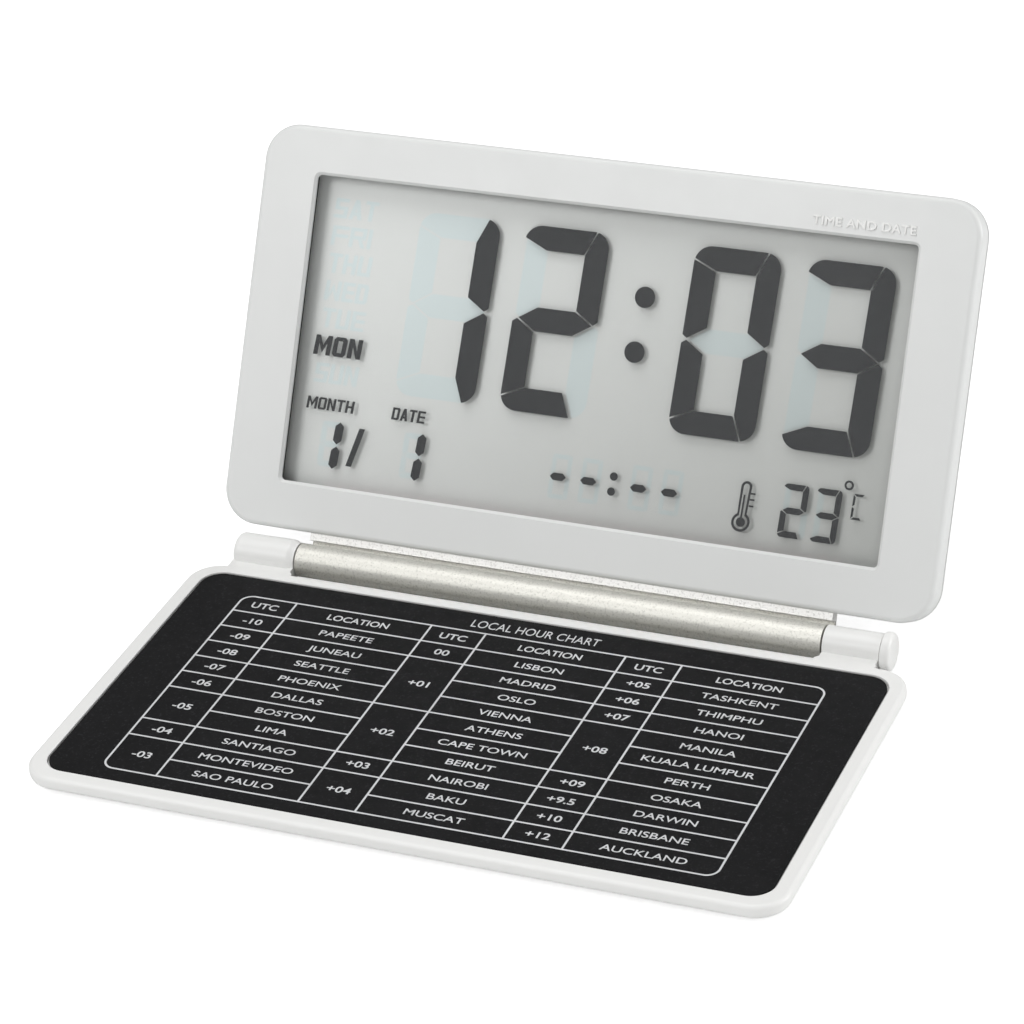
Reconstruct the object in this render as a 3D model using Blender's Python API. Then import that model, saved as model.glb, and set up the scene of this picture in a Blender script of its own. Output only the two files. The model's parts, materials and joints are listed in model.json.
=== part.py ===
"""Folding travel alarm clock: a thin base tray with a printed card, and a liquid-crystal display head
that folds down over it on a full-width hinge.

The base stands on Z = 0 and reaches forward along -Y from the hinge line, which runs along X.
The head is drawn upright, with its own Z up its face and its own Y towards its back, under an empty
that sits on the hinge line and leans the whole head back.
"""

from math import atan2, cos, pi, radians, sin, sqrt

import bmesh
import bpy
from mathutils import Matrix, Vector

MM = 0.001
GAP = 0.3  # clearance between pieces that would touch

# Whole clock
WIDTH = 120.0
HINGE_Y = 13.6  # puts the open clock's box centre on Y = 0
HINGE_Z = 3.44
LEAN_DEG = 29.28
CORNER_STEPS = 6
SHARP_DEG = 35.0  # edges that turn further than this stay sharp in the shading
ROUND_STEPS = 4

# Base tray, measured forward (-Y) from the hinge line
TRAY_FRONT = -67.4
TRAY_BACK = -4.44
TRAY_BOTTOM = 0.9
TRAY_TOP = 3.42
TRAY_CORNER = 5.2
TRAY_LOWER_ROUND = 1.2
TRAY_UPPER_ROUND = 0.7
TRAY_FLOOR_TOP = 1.5
CARD_LEDGE = 2.7

# Card and ballast plate in the tray
CARD_WIDTH = 114.4
CARD_DEPTH = 57.7
CARD_BACK = -6.94
CARD_CORNER = 3.4
CARD_BOTTOM = 2.9
CARD_TOP = 3.3
BALLAST_WIDTH = 111.0
BALLAST_DEPTH = 54.4
BALLAST_BOTTOM = 1.7
BALLAST_TOP = 2.7
BALLAST_CORNER = 2.2

# Feet
FOOT_RADIUS = 3.0
FOOT_TOP = 0.6
FOOT_X = 48.4
FOOT_REAR_Y = -6.2
FOOT_FRONT_Y = -61.0

# Hinge
BARREL_RADIUS = 2.72
BARREL_HALF = 44.2
BARREL_BORE = 1.8
KNUCKLE_START = 44.5
LEFT_KNUCKLE_RADIUS = 3.09
LEFT_KNUCKLE_END = 55.2
RIGHT_KNUCKLE_END = 53.4
CAP_START = 53.7
CAP_END = 55.2
CAP_RADIUS = 3.09
PIN_RADIUS = 1.0
PIN_LEFT = -53.8
PIN_RIGHT = 54.4
PIN_CLEARANCE = 0.3
BUSH_RADIUS = 1.55
BUSH_BORE = 1.1
BUSH_LENGTH = 9.0
TURNED_SIDES = 32
BARREL_SIDES = 26

# Neck that joins the barrel to the head, in the head's own Y and Z
NECK_FRONT = 2.3
NECK_BACK = 4.7
NECK_TOP = 8.6
HEEL_DEG = 35.0  # the heel leaves the tube this far below the hinge line
PEG_X = 36.0
PEG_Z = 7.2
PEG_RADIUS = 0.8
PEG_HOLE = 1.0

# Head shells, in the head's own Y and Z
HEAD_BOTTOM = 4.36
HEAD_HEIGHT = 65.0
HEAD_CORNER = 5.8
FACE_Y = 1.37
BEZEL_BACK = 4.9
BEZEL_ROUND = 0.9
BEZEL_WALL = 1.5
COVER_FRONT = 5.2
COVER_BACK = 6.7
COVER_ROUND = 1.1
WINDOW_WIDTH = 100.6
WINDOW_HEIGHT = 49.5
WINDOW_BOTTOM = 12.2
WINDOW_CORNER = 0.5
WINDOW_LIP = 0.78
WINDOW_BEVEL = 0.5
PLATEAU_WIDTH = 108.0
PLATEAU_HEIGHT = 58.6
PLATEAU_BACK = 10.4
WALL_INSIDE = 9.1
PLATEAU_DRAFT = 2.5
PLATEAU_CORNER = 6.0
CAVITY_INSET = 1.5
SIDE_LIP_Z = (14.0, 60.0)
TOP_LIP_X = 48.0

# Case screws
SCREW_X = 56.2
SCREW_LOW_Z = 8.3
SCREW_HIGH_Z = 65.4
BOSS_RADIUS = 1.5
SCREW_SHANK = 0.7
SCREW_HEAD = 1.25
SCREW_HOLE = 0.95
SCREW_SEAT = 5.9
SCREW_TIP = 3.4
SCREW_SLOT = 0.9

# Display stack, front to back
GASKET_Y = (2.35, 3.0)
POLARIZER_Y = (3.2, 3.4)
FRONT_GLASS_Y = (3.6, 4.15)
REAR_GLASS_Y = (4.35, 4.9)
REFLECTOR_Y = (5.2, 5.4)
GLASS_WIDTH = 104.0
GLASS_TOP = 63.6
FRONT_GLASS_BOTTOM = 9.0
REAR_GLASS_BOTTOM = 11.6
GASKET_WALL = 2.3
ZEBRA_X = 44.0

# Electronics
BOARD_Y = (5.85, 6.55)
BOARD_WIDTH = 103.6
BOARD_BOTTOM = 9.4
BOARD_TOP = 64.3
BOARD_CORNER = 4.5
PART_Y = 6.8  # board parts stand this far back, just clear of the board
CHIP_PLACE = (-8.0, 27.0)
CRYSTAL_PLACE = (6.0, 18.0)
THERMISTOR_PLACE = (-47.0, 14.0)
CAPACITOR_X = (-40.0, -36.5)
CAPACITOR_Z = 14.0
CELL_X = 30.0
CELL_Z = 33.0
CELL_RADIUS = 10.0
CELL_Y = (6.25, 8.75)
CELL_POCKET = 11.8
CONTACT_THICKNESS = 0.2

# Battery door, turned in a round hole in the rear cover
DOOR_RADIUS = 13.0
DOOR_HOLE = 13.3
DOOR_SKIRT = (10.6, 12.0)
DOOR_Y = (9.2, 10.3)
DOOR_SKIRT_Y = 7.9
LUG_Y = (7.9, 8.7)
LUG_REACH = 14.3
LUG_WIDTH = 5.0
COIN_SLOT = (14.0, 1.8, 0.6)
DOOR_OPEN_DEG = 60.0

# Keys and alarm switch on the back
KEY_NAMES = ("key_mode", "key_set", "key_up", "key_down")
KEY_X = (-43.0, -31.0, -19.0, -7.0)
KEY_Z = 51.0
KEY_RADIUS = 2.6
KEY_HOLE = 2.9
KEY_PROUD = 0.7
KEY_FLANGE = 3.6
KEY_FLANGE_Y = (8.0, 8.6)
MAT_Y = (6.8, 7.1)
DOME_TOP = 7.4
DOME_RADIUS = 2.2
SWITCH_X = 30.0
SWITCH_Z = 54.5
SWITCH_SLOT = (10.0, 3.0)
SWITCH_KNOB = (6.4, 2.4)
SWITCH_REST = 1.5  # the knob rests this far to -X of the slot's middle
BUZZER_X = -25.0
BUZZER_Z = 26.0
BUZZER_RADIUS = 10.0
SOUND_HOLE = 0.6
SOUND_RING = 4.0
SOUND_HOLES = 6

FINISHES = {
    "white_plastic": ((0.86, 0.87, 0.86), 0.38, 0.0),
    "tray_plastic": ((0.91, 0.91, 0.90), 0.38, 0.0),
    "anodised_aluminium": ((0.78, 0.77, 0.74), 0.32, 1.0),
    "steel": ((0.60, 0.60, 0.61), 0.30, 1.0),
    "galvanised": ((0.55, 0.56, 0.57), 0.45, 1.0),
    "black_card": ((0.025, 0.025, 0.028), 0.55, 0.0),
    "black_rubber": ((0.03, 0.03, 0.03), 0.85, 0.0),
    "black_foam": ((0.02, 0.02, 0.02), 0.95, 0.0),
    "display_film": ((0.66, 0.66, 0.64), 0.30, 0.0),
    "glass": ((0.80, 0.84, 0.82), 0.05, 0.0),
    "reflector": ((0.70, 0.70, 0.66), 0.50, 0.0),
    "circuit_green": ((0.02, 0.16, 0.07), 0.45, 0.0),
    "epoxy": ((0.01, 0.01, 0.01), 0.30, 0.0),
    "brass": ((0.75, 0.56, 0.25), 0.35, 1.0),
    "ceramic": ((0.55, 0.42, 0.28), 0.60, 0.0),
    "key_rubber": ((0.55, 0.56, 0.57), 0.60, 0.0),
    "silicone": ((0.60, 0.60, 0.58), 0.70, 0.0),
    "zebra": ((0.85, 0.45, 0.55), 0.60, 0.0),
}


def clear_scene():
    for old in list(bpy.data.objects):
        bpy.data.objects.remove(old, do_unlink=True)


def finish(name):
    material = bpy.data.materials.get(name)
    if material:
        return material
    colour, roughness, metallic = FINISHES[name]
    material = bpy.data.materials.new(name)
    material.use_nodes = True
    shader = material.node_tree.nodes["Principled BSDF"]
    shader.inputs["Base Color"].default_value = (*colour, 1.0)
    shader.inputs["Roughness"].default_value = roughness
    shader.inputs["Metallic"].default_value = metallic
    return material


def empty(name, place, tilt_x=0.0):
    holder = bpy.data.objects.new(name, None)
    holder.location = Vector(place) * MM
    holder.rotation_euler = (tilt_x, 0.0, 0.0)
    bpy.context.scene.collection.objects.link(holder)
    return holder


def solid(name, mesh_builder, material="white_plastic", parent=None, place=(0.0, 0.0, 0.0)):
    """An object from a filled bmesh whose coordinates are in millimetres."""
    mesh = bpy.data.meshes.new(name)
    bmesh.ops.scale(mesh_builder, vec=(MM, MM, MM), verts=mesh_builder.verts)
    bmesh.ops.recalc_face_normals(mesh_builder, faces=mesh_builder.faces)
    mesh_builder.to_mesh(mesh)
    mesh_builder.free()
    mesh.materials.append(finish(material))
    made = bpy.data.objects.new(name, mesh)
    made.location = Vector(place) * MM
    made.parent = parent
    bpy.context.scene.collection.objects.link(made)
    return made


def boolean(target, shape, operation):
    """Cuts or joins a shape into an object, keeps the result and removes the tool."""
    tool = solid("tool", shape)
    bpy.context.view_layer.update()
    tool.matrix_world = target.matrix_world.copy()
    modifier = target.modifiers.new("shape", "BOOLEAN")
    modifier.operation = operation
    modifier.solver = "EXACT"
    modifier.object = tool
    shaped = target.evaluated_get(bpy.context.evaluated_depsgraph_get())
    mesh = bpy.data.meshes.new_from_object(shaped)
    target.modifiers.clear()
    target.data = mesh
    bpy.data.objects.remove(tool, do_unlink=True)


def rounded_rect(width, height, radius, centre=(0.0, 0.0)):
    """Corner points of a rectangle with round corners, anticlockwise."""
    points = []
    for turn, (sx, sy) in enumerate(((1, 1), (-1, 1), (-1, -1), (1, -1))):
        cx = centre[0] + sx * (width / 2 - radius)
        cy = centre[1] + sy * (height / 2 - radius)
        for step in range(CORNER_STEPS + 1):
            angle = pi / 2 * (turn + step / CORNER_STEPS)
            points.append((cx + radius * cos(angle), cy + radius * sin(angle)))
    return points


def circle(radius, sides, centre=(0.0, 0.0)):
    angles = [2 * pi * (side + 0.5) / sides for side in range(sides)]
    return [(centre[0] + radius * cos(angle), centre[1] + radius * sin(angle)) for angle in angles]


def stack(levels, along):
    """A closed solid through outlines of equal point count, each at its own height along an axis."""
    shape = bmesh.new()
    rings = []
    for height, outline in levels:
        if along == "Z":
            ring = [shape.verts.new((a, b, height)) for a, b in outline]
        elif along == "Y":
            ring = [shape.verts.new((a, height, b)) for a, b in outline]
        else:
            ring = [shape.verts.new((height, a, b)) for a, b in outline]
        rings.append(ring)
    for low, high in zip(rings, rings[1:]):
        for this in range(len(low)):
            after = (this + 1) % len(low)
            shape.faces.new((low[this], low[after], high[after], high[this]))
    shape.faces.new(rings[0])
    shape.faces.new(rings[-1])
    return shape


def prism(outline, start, end, along="Y"):
    return stack([(start, outline), (end, outline)], along)


def disc(radius, start, end, centre=(0.0, 0.0), sides=24, along="Y"):
    return prism(circle(radius, sides, centre), start, end, along)


def block(x, y, z):
    """A box between two values on each axis."""
    return prism([(x[0], y[0]), (x[1], y[0]), (x[1], y[1]), (x[0], y[1])], z[0], z[1], "Z")


def round_edge(start, end, round_start, round_end):
    """Heights and insets down the side of a slab whose two rims are rounded."""
    turns = [pi / 2 * step / ROUND_STEPS for step in range(ROUND_STEPS + 1)]
    pairs = [(start + round_start * (1 - cos(turn)), round_start * (1 - sin(turn))) for turn in turns]
    pairs += [(end - round_end * (1 - cos(turn)), round_end * (1 - sin(turn))) for turn in reversed(turns)]
    return [pair for spot, pair in enumerate(pairs) if pair not in pairs[:spot]]


def slab(size, radius, start, end, rounds=(0.0, 0.0), centre=(0.0, 0.0), along="Y"):
    """A plate with round corners and, where asked, rounded rims."""
    levels = []
    for height, inset in round_edge(start, end, *rounds):
        outline = rounded_rect(size[0] - 2 * inset, size[1] - 2 * inset, radius - inset, centre)
        levels.append((height, outline))
    return stack(levels, along)


def turned(profile, sides=TURNED_SIDES):
    """A round solid on the X axis through pairs of (x, radius)."""
    return stack([(x, circle(radius, sides)) for x, radius in profile], "X")


def cut(target, shape):
    """Takes a shape, given in the target's own frame, out of the target."""
    boolean(target, shape, "DIFFERENCE")


def join(target, shape):
    """Adds a shape, given in the target's own frame, to the target."""
    boolean(target, shape, "UNION")


# Base ------------------------------------------------------------------------------------------


def card_outline(width, depth, corner, grow=0.0):
    """An outline about the card's middle."""
    middle = (0.0, CARD_BACK - CARD_DEPTH / 2)
    return rounded_rect(width + 2 * grow, depth + 2 * grow, corner + grow, middle)


def make_tray(base):
    middle = (0.0, (TRAY_FRONT + TRAY_BACK) / 2)
    size = (WIDTH, TRAY_BACK - TRAY_FRONT)
    rounds = (TRAY_LOWER_ROUND, TRAY_UPPER_ROUND)
    plate = slab(size, TRAY_CORNER, TRAY_BOTTOM, TRAY_TOP, rounds, middle, "Z")
    tray = solid("base_tray", plate, "tray_plastic", base)
    cut(tray, prism(card_outline(CARD_WIDTH, CARD_DEPTH, CARD_CORNER, GAP), CARD_LEDGE, TRAY_TOP + 1, "Z"))
    ballast_recess = card_outline(BALLAST_WIDTH, BALLAST_DEPTH, BALLAST_CORNER, GAP)
    cut(tray, prism(ballast_recess, TRAY_FLOOR_TOP, TRAY_TOP + 1, "Z"))

    for side, outer in ((-1, LEFT_KNUCKLE_END), (1, RIGHT_KNUCKLE_END)):
        join(tray, web(side, outer))
        join(tray, knuckle(side))
        bore_end = PIN_LEFT - PIN_CLEARANCE if side < 0 else RIGHT_KNUCKLE_END + 1
        join_x = sorted((side * (KNUCKLE_START - 1), bore_end))
        bore = turned([(x, PIN_RADIUS + PIN_CLEARANCE) for x in join_x])
        bmesh.ops.translate(bore, vec=(0, 0, HINGE_Z), verts=bore.verts)
        cut(tray, bore)


def web(side, outer):
    """The flat shelf that carries a knuckle, with its inner corner cut back."""
    inner = KNUCKLE_START
    outer -= 0.1
    root = TRAY_BACK - 2.0
    under_knuckle = -1.0
    chamfer = 0.6
    outline = [
        (side * (inner - chamfer), root),
        (side * (inner - chamfer), TRAY_BACK),
        (side * inner, TRAY_BACK + chamfer),
        (side * inner, under_knuckle),
        (side * outer, under_knuckle),
        (side * outer, root),
    ]
    return prism(outline, TRAY_BOTTOM + 0.15, TRAY_TOP - 0.02, "Z")


def knuckle(side):
    if side > 0:
        profile = [(KNUCKLE_START, BARREL_RADIUS), (RIGHT_KNUCKLE_END, BARREL_RADIUS)]
    else:
        step = LEFT_KNUCKLE_RADIUS - BARREL_RADIUS
        profile = [
            (-LEFT_KNUCKLE_END, LEFT_KNUCKLE_RADIUS - 0.9),
            (-LEFT_KNUCKLE_END + 0.25, LEFT_KNUCKLE_RADIUS - 0.35),
            (-LEFT_KNUCKLE_END + 0.9, LEFT_KNUCKLE_RADIUS),
            (-KNUCKLE_START - 1.2, LEFT_KNUCKLE_RADIUS),
            (-KNUCKLE_START - 0.5, LEFT_KNUCKLE_RADIUS - 0.3 * step),
            (-KNUCKLE_START, BARREL_RADIUS),
        ]
    shape = turned(profile)
    bmesh.ops.translate(shape, vec=(0, 0, HINGE_Z), verts=shape.verts)
    return shape


def make_base_fittings(base):
    ballast = card_outline(BALLAST_WIDTH, BALLAST_DEPTH, BALLAST_CORNER)
    solid("ballast_plate", prism(ballast, BALLAST_BOTTOM, BALLAST_TOP, "Z"), "galvanised", base)
    card = card_outline(CARD_WIDTH, CARD_DEPTH, CARD_CORNER)
    solid("time_zone_card", prism(card, CARD_BOTTOM, CARD_TOP, "Z"), "black_card", base)
    for side, side_name in ((-1, "left"), (1, "right")):
        for y, end_name in ((FOOT_FRONT_Y, "front"), (FOOT_REAR_Y, "rear")):
            foot = disc(FOOT_RADIUS, 0.0, FOOT_TOP, (side * FOOT_X, y), 20, "Z")
            solid(f"foot_{end_name}_{side_name}", foot, "black_rubber", base)


def make_hinge_pin(base):
    on_axis = (0.0, 0.0, HINGE_Z)
    pin = turned([(PIN_LEFT, PIN_RADIUS), (PIN_RIGHT, PIN_RADIUS)])
    solid("hinge_pin", pin, "steel", base, on_axis)
    profile = [
        (CAP_START, CAP_RADIUS - 0.3),
        (CAP_START + 0.3, CAP_RADIUS),
        (CAP_END - 0.9, CAP_RADIUS),
        (CAP_END - 0.4, CAP_RADIUS - 0.2),
        (CAP_END - 0.1, CAP_RADIUS - 0.7),
        (CAP_END, CAP_RADIUS - 1.5),
    ]
    cap = solid("hinge_end_cap", turned(profile), "white_plastic", base, on_axis)
    socket = [(CAP_START - 1, PIN_RADIUS + GAP), (PIN_RIGHT + GAP, PIN_RADIUS + GAP)]
    cut(cap, turned(socket))


# Head shells -----------------------------------------------------------------------------------


def barrel_profile():
    """The tube from the neck's front root round to the heel, then up the neck."""
    start = atan2(sqrt(BARREL_RADIUS**2 - NECK_FRONT**2), NECK_FRONT)
    end = 2 * pi - radians(HEEL_DEG)
    profile = []
    for side in range(BARREL_SIDES + 1):
        angle = start + (end - start) * side / BARREL_SIDES
        profile.append((BARREL_RADIUS * cos(angle), BARREL_RADIUS * sin(angle)))
    heel = [(NECK_BACK - 0.8, -0.6), (NECK_BACK - 0.2, 0.3), (NECK_BACK, 1.3)]
    return profile + heel + [(NECK_BACK, NECK_TOP), (NECK_FRONT, NECK_TOP)]


def make_barrel(head):
    """The aluminium hinge barrel with its neck, and the two bushes that carry the pin in its ends."""
    shape = prism(barrel_profile(), -BARREL_HALF, BARREL_HALF, "X")
    barrel = solid("hinge_barrel", shape, "anodised_aluminium", head)
    cut(barrel, turned([(-BARREL_HALF - 1, BARREL_BORE), (BARREL_HALF + 1, BARREL_BORE)]))
    for side, side_name in ((-1, "left"), (1, "right")):
        cut(barrel, disc(PEG_HOLE, NECK_FRONT - 1, NECK_BACK + 1, (side * PEG_X, PEG_Z), 16))
        ends = sorted((side * (BARREL_HALF - BUSH_LENGTH), side * (BARREL_HALF - GAP)))
        sleeve = turned([(x, BUSH_RADIUS) for x in ends])
        bush = solid(f"hinge_bush_{side_name}", sleeve, "silicone", head)
        cut(bush, turned([(ends[0] - 1, BUSH_BORE), (ends[1] + 1, BUSH_BORE)]))


def head_middle():
    return (0.0, HEAD_BOTTOM + HEAD_HEIGHT / 2)


def screw_places():
    return [(side * SCREW_X, z) for z in (SCREW_LOW_Z, SCREW_HIGH_Z) for side in (-1, 1)]


def make_bezel(head):
    size = (WIDTH, HEAD_HEIGHT)
    shell = slab(size, HEAD_CORNER, FACE_Y, BEZEL_BACK, (BEZEL_ROUND, 0.0), head_middle())
    bezel = solid("front_bezel", shell, "white_plastic", head)
    inside = (WIDTH - 2 * BEZEL_WALL, HEAD_HEIGHT - 2 * BEZEL_WALL)
    hollow = rounded_rect(*inside, HEAD_CORNER - BEZEL_WALL, head_middle())
    cut(bezel, prism(hollow, FACE_Y + BEZEL_WALL, BEZEL_BACK + 1))

    window_middle = (0.0, WINDOW_BOTTOM + WINDOW_HEIGHT / 2)
    opening = []
    for y, spread in ((FACE_Y - 0.5, WINDOW_BEVEL + 0.5), (FACE_Y + WINDOW_BEVEL, 0.0), (BEZEL_BACK, 0.0)):
        grown = (WINDOW_WIDTH + 2 * spread, WINDOW_HEIGHT + 2 * spread)
        opening.append((y, rounded_rect(*grown, WINDOW_CORNER + spread, window_middle)))
    cut(bezel, stack(opening, "Y"))
    rebate = (WINDOW_WIDTH + 2 * (GASKET_WALL + GAP), WINDOW_HEIGHT + 2 * (GASKET_WALL + GAP))
    cut(bezel, prism(rounded_rect(*rebate, 1.0, window_middle), FACE_Y + WINDOW_LIP, BEZEL_BACK))

    slot_x = (-BARREL_HALF - GAP, BARREL_HALF + GAP)
    cut(bezel, block(slot_x, (NECK_FRONT - GAP, BEZEL_BACK + 1), (0.0, NECK_TOP + GAP)))
    for side in (-1, 1):
        join(bezel, disc(PEG_RADIUS, FACE_Y + 0.4, NECK_BACK - GAP, (side * PEG_X, PEG_Z), 16))
    for place in screw_places():
        join(bezel, disc(BOSS_RADIUS, FACE_Y + 1.0, BEZEL_BACK - 0.05, place, 20))
        cut(bezel, disc(SCREW_HOLE, SCREW_TIP - GAP, BEZEL_BACK + 1, place, 16))


def make_rear_cover(head):
    rounds = (0.0, COVER_ROUND)
    rim = slab((WIDTH, HEAD_HEIGHT), HEAD_CORNER, COVER_FRONT, COVER_BACK, rounds, head_middle())
    cover = solid("rear_cover", rim, "white_plastic", head)
    join(cover, plateau(0.0, COVER_FRONT + 0.4, PLATEAU_BACK))
    cut(cover, plateau(CAVITY_INSET, COVER_FRONT - 1, WALL_INSIDE))
    add_lips(cover)
    for place in screw_places():
        cut(cover, disc(SCREW_HEAD + GAP, SCREW_SEAT, COVER_BACK + 1, place, 20))
        cut(cover, disc(SCREW_HOLE, COVER_FRONT - 1, SCREW_SEAT + 1, place, 16))
    through = (WALL_INSIDE - 0.5, PLATEAU_BACK + 1)
    for x in KEY_X:
        cut(cover, disc(KEY_HOLE, *through, (x, KEY_Z), 24))
    cut(cover, prism(rounded_rect(*SWITCH_SLOT, 0.8, (SWITCH_X, SWITCH_Z)), *through))
    cut_door_hole(cover, through)
    cut(cover, disc(SOUND_HOLE, *through, (BUZZER_X, BUZZER_Z), 12))
    for hole in range(SOUND_HOLES):
        angle = 2 * pi * hole / SOUND_HOLES
        place = (BUZZER_X + SOUND_RING * cos(angle), BUZZER_Z + SOUND_RING * sin(angle))
        cut(cover, disc(SOUND_HOLE, *through, place, 12))


def add_lips(cover):
    """Lips along the sides and the top that reach into the bezel and close the joint line."""
    depth = (BEZEL_BACK - 0.8, COVER_FRONT + 0.3)
    thickness = 1.2 - GAP
    outer = WIDTH / 2 - BEZEL_WALL - GAP
    for side in (-1, 1):
        join(cover, block(sorted((side * outer, side * (outer - thickness))), depth, SIDE_LIP_Z))
    top = HEAD_BOTTOM + HEAD_HEIGHT - BEZEL_WALL - GAP
    join(cover, block((-TOP_LIP_X, TOP_LIP_X), depth, (top - thickness, top)))


def cut_door_hole(cover, through):
    """The door's round hole, with two notches that let its lugs through when it is turned."""
    cut(cover, disc(DOOR_HOLE, *through, (CELL_X, CELL_Z), 40))
    half_width = LUG_WIDTH / 2 + GAP
    for turn in (DOOR_OPEN_DEG, DOOR_OPEN_DEG + 180):
        notch = block((DOOR_HOLE - 2, LUG_REACH + GAP), through, (-half_width, half_width))
        spin = Matrix.Rotation(radians(turn), 3, "Y")
        bmesh.ops.rotate(notch, cent=(0, 0, 0), matrix=spin, verts=notch.verts)
        bmesh.ops.translate(notch, vec=(CELL_X, 0, CELL_Z), verts=notch.verts)
        cut(cover, notch)


def plateau(inset, start, end):
    """The raised middle of the cover, whose sides lean in towards the back."""
    middle = head_middle()
    spread = (PLATEAU_WIDTH - 2 * inset, PLATEAU_HEIGHT - 2 * inset)
    corner = PLATEAU_CORNER - inset
    shrink = PLATEAU_DRAFT * (end - COVER_BACK) / (PLATEAU_BACK - COVER_BACK)
    top = (spread[0] - 2 * shrink, spread[1] - 2 * shrink)
    levels = [
        (start, rounded_rect(*spread, corner, middle)),
        (COVER_BACK - 0.2, rounded_rect(*spread, corner, middle)),
        (end - 0.4, rounded_rect(top[0] + 0.3, top[1] + 0.3, corner, middle)),
        (end, rounded_rect(*top, corner - 0.2, middle)),
    ]
    return stack(levels, "Y")


def make_screws(head):
    """Cross-slotted screws that come in from the back, one in each corner."""
    head_y = (SCREW_SEAT + 0.2, COVER_BACK - 0.1)
    slot_y = (COVER_BACK - 0.35, COVER_BACK)
    for number, place in enumerate(screw_places(), 1):
        screw = solid(f"case_screw_{number}", disc(SCREW_HEAD, *head_y, place, 16), "steel", head)
        join(screw, disc(SCREW_SHANK, SCREW_TIP, head_y[0] + 0.2, place, 12))
        for half_x, half_z in ((SCREW_SLOT, SCREW_SLOT / 6), (SCREW_SLOT / 6, SCREW_SLOT)):
            slot_x = (place[0] - half_x, place[0] + half_x)
            cut(screw, block(slot_x, slot_y, (place[1] - half_z, place[1] + half_z)))


# Display ---------------------------------------------------------------------------------------


def make_display(head):
    window_middle = (0.0, WINDOW_BOTTOM + WINDOW_HEIGHT / 2)

    def window_outline(grow, corner):
        return rounded_rect(WINDOW_WIDTH + 2 * grow, WINDOW_HEIGHT + 2 * grow, corner, window_middle)

    gasket = solid("lcd_gasket", prism(window_outline(GASKET_WALL, 0.8), *GASKET_Y), "black_foam", head)
    cut(gasket, prism(window_outline(0.2, 0.6), GASKET_Y[0] - 1, GASKET_Y[1] + 1))
    solid("lcd_polarizer", prism(window_outline(0.8, 0.4), *POLARIZER_Y), "display_film", head)
    solid("lcd_reflector", prism(window_outline(0.4, 2.0), *REFLECTOR_Y), "reflector", head)
    plates = (
        ("lcd_front_glass", FRONT_GLASS_BOTTOM, FRONT_GLASS_Y),
        ("lcd_rear_glass", REAR_GLASS_BOTTOM, REAR_GLASS_Y),
    )
    for name, bottom, depth in plates:
        outline = rounded_rect(GLASS_WIDTH, GLASS_TOP - bottom, 0.3, (0.0, (GLASS_TOP + bottom) / 2))
        solid(name, prism(outline, *depth), "glass", head)
    strip_y = (FRONT_GLASS_Y[1] + 0.2, BOARD_Y[0] - 0.2)
    strip_z = (FRONT_GLASS_BOTTOM + 0.4, REAR_GLASS_BOTTOM - 0.3)
    solid("zebra_connector", block((-ZEBRA_X, ZEBRA_X), strip_y, strip_z), "zebra", head)


# Electronics -----------------------------------------------------------------------------------


def make_board(head):
    middle = (0.0, (BOARD_TOP + BOARD_BOTTOM) / 2)
    outline = rounded_rect(BOARD_WIDTH, BOARD_TOP - BOARD_BOTTOM, BOARD_CORNER, middle)
    board = solid("circuit_board", prism(outline, *BOARD_Y), "circuit_green", head)
    cut(board, disc(CELL_POCKET, BOARD_Y[0] - 1, BOARD_Y[1] + 1, (CELL_X, CELL_Z), 32))

    drop = [(0.0, 4.5), (0.6, 4.0), (1.0, 2.6)]
    dome = stack([(PART_Y + rise, circle(radius, 20)) for rise, radius in drop], "Y")
    solid("chip_glob", dome, "epoxy", head, (CHIP_PLACE[0], 0.0, CHIP_PLACE[1]))
    can = turned([(-3.0, 0.85), (-2.8, 1.0), (3.0, 1.0)], 16)
    solid("quartz_crystal", can, "steel", head, (CRYSTAL_PLACE[0], PART_Y + 1.05, CRYSTAL_PLACE[1]))
    bead = turned([(-0.8, 0.5), (-0.4, 0.8), (0.4, 0.8), (0.8, 0.5)], 12)
    solid("thermistor", bead, "ceramic", head, (THERMISTOR_PLACE[0], PART_Y + 0.9, THERMISTOR_PLACE[1]))
    for number, x in enumerate(CAPACITOR_X, 1):
        chip = block((x - 1.0, x + 1.0), (PART_Y, PART_Y + 0.8), (CAPACITOR_Z - 0.6, CAPACITOR_Z + 0.6))
        solid(f"capacitor_{number}", chip, "ceramic", head)


def make_battery(head):
    centre = (CELL_X, 0.0, CELL_Z)
    start, end = CELL_Y
    cell = stack(
        [
            (start, circle(CELL_RADIUS - 1.2, 40)),
            (start + 0.5, circle(CELL_RADIUS - 0.9, 40)),
            (start + 0.6, circle(CELL_RADIUS, 40)),
            (end - 0.2, circle(CELL_RADIUS, 40)),
            (end, circle(CELL_RADIUS - 0.2, 40)),
        ],
        "Y",
    )
    solid("coin_cell", cell, "steel", head, centre)
    negative = block((-9.5, 9.5), (BOARD_Y[0], BOARD_Y[0] + CONTACT_THICKNESS), (-2.0, 2.0))
    solid("battery_contact_negative", negative, "steel", head, centre)
    reach = CELL_RADIUS + 0.4
    positive_y = (BOARD_Y[0], DOOR_SKIRT_Y - GAP)
    positive = block((reach, reach + CONTACT_THICKNESS), positive_y, (-3.0, 3.0))
    solid("battery_contact_positive", positive, "steel", head, centre)
    buzzer = disc(BUZZER_RADIUS, WALL_INSIDE - 0.6, WALL_INSIDE - GAP, (BUZZER_X, BUZZER_Z), 32)
    solid("buzzer_disc", buzzer, "brass", head)


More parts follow.
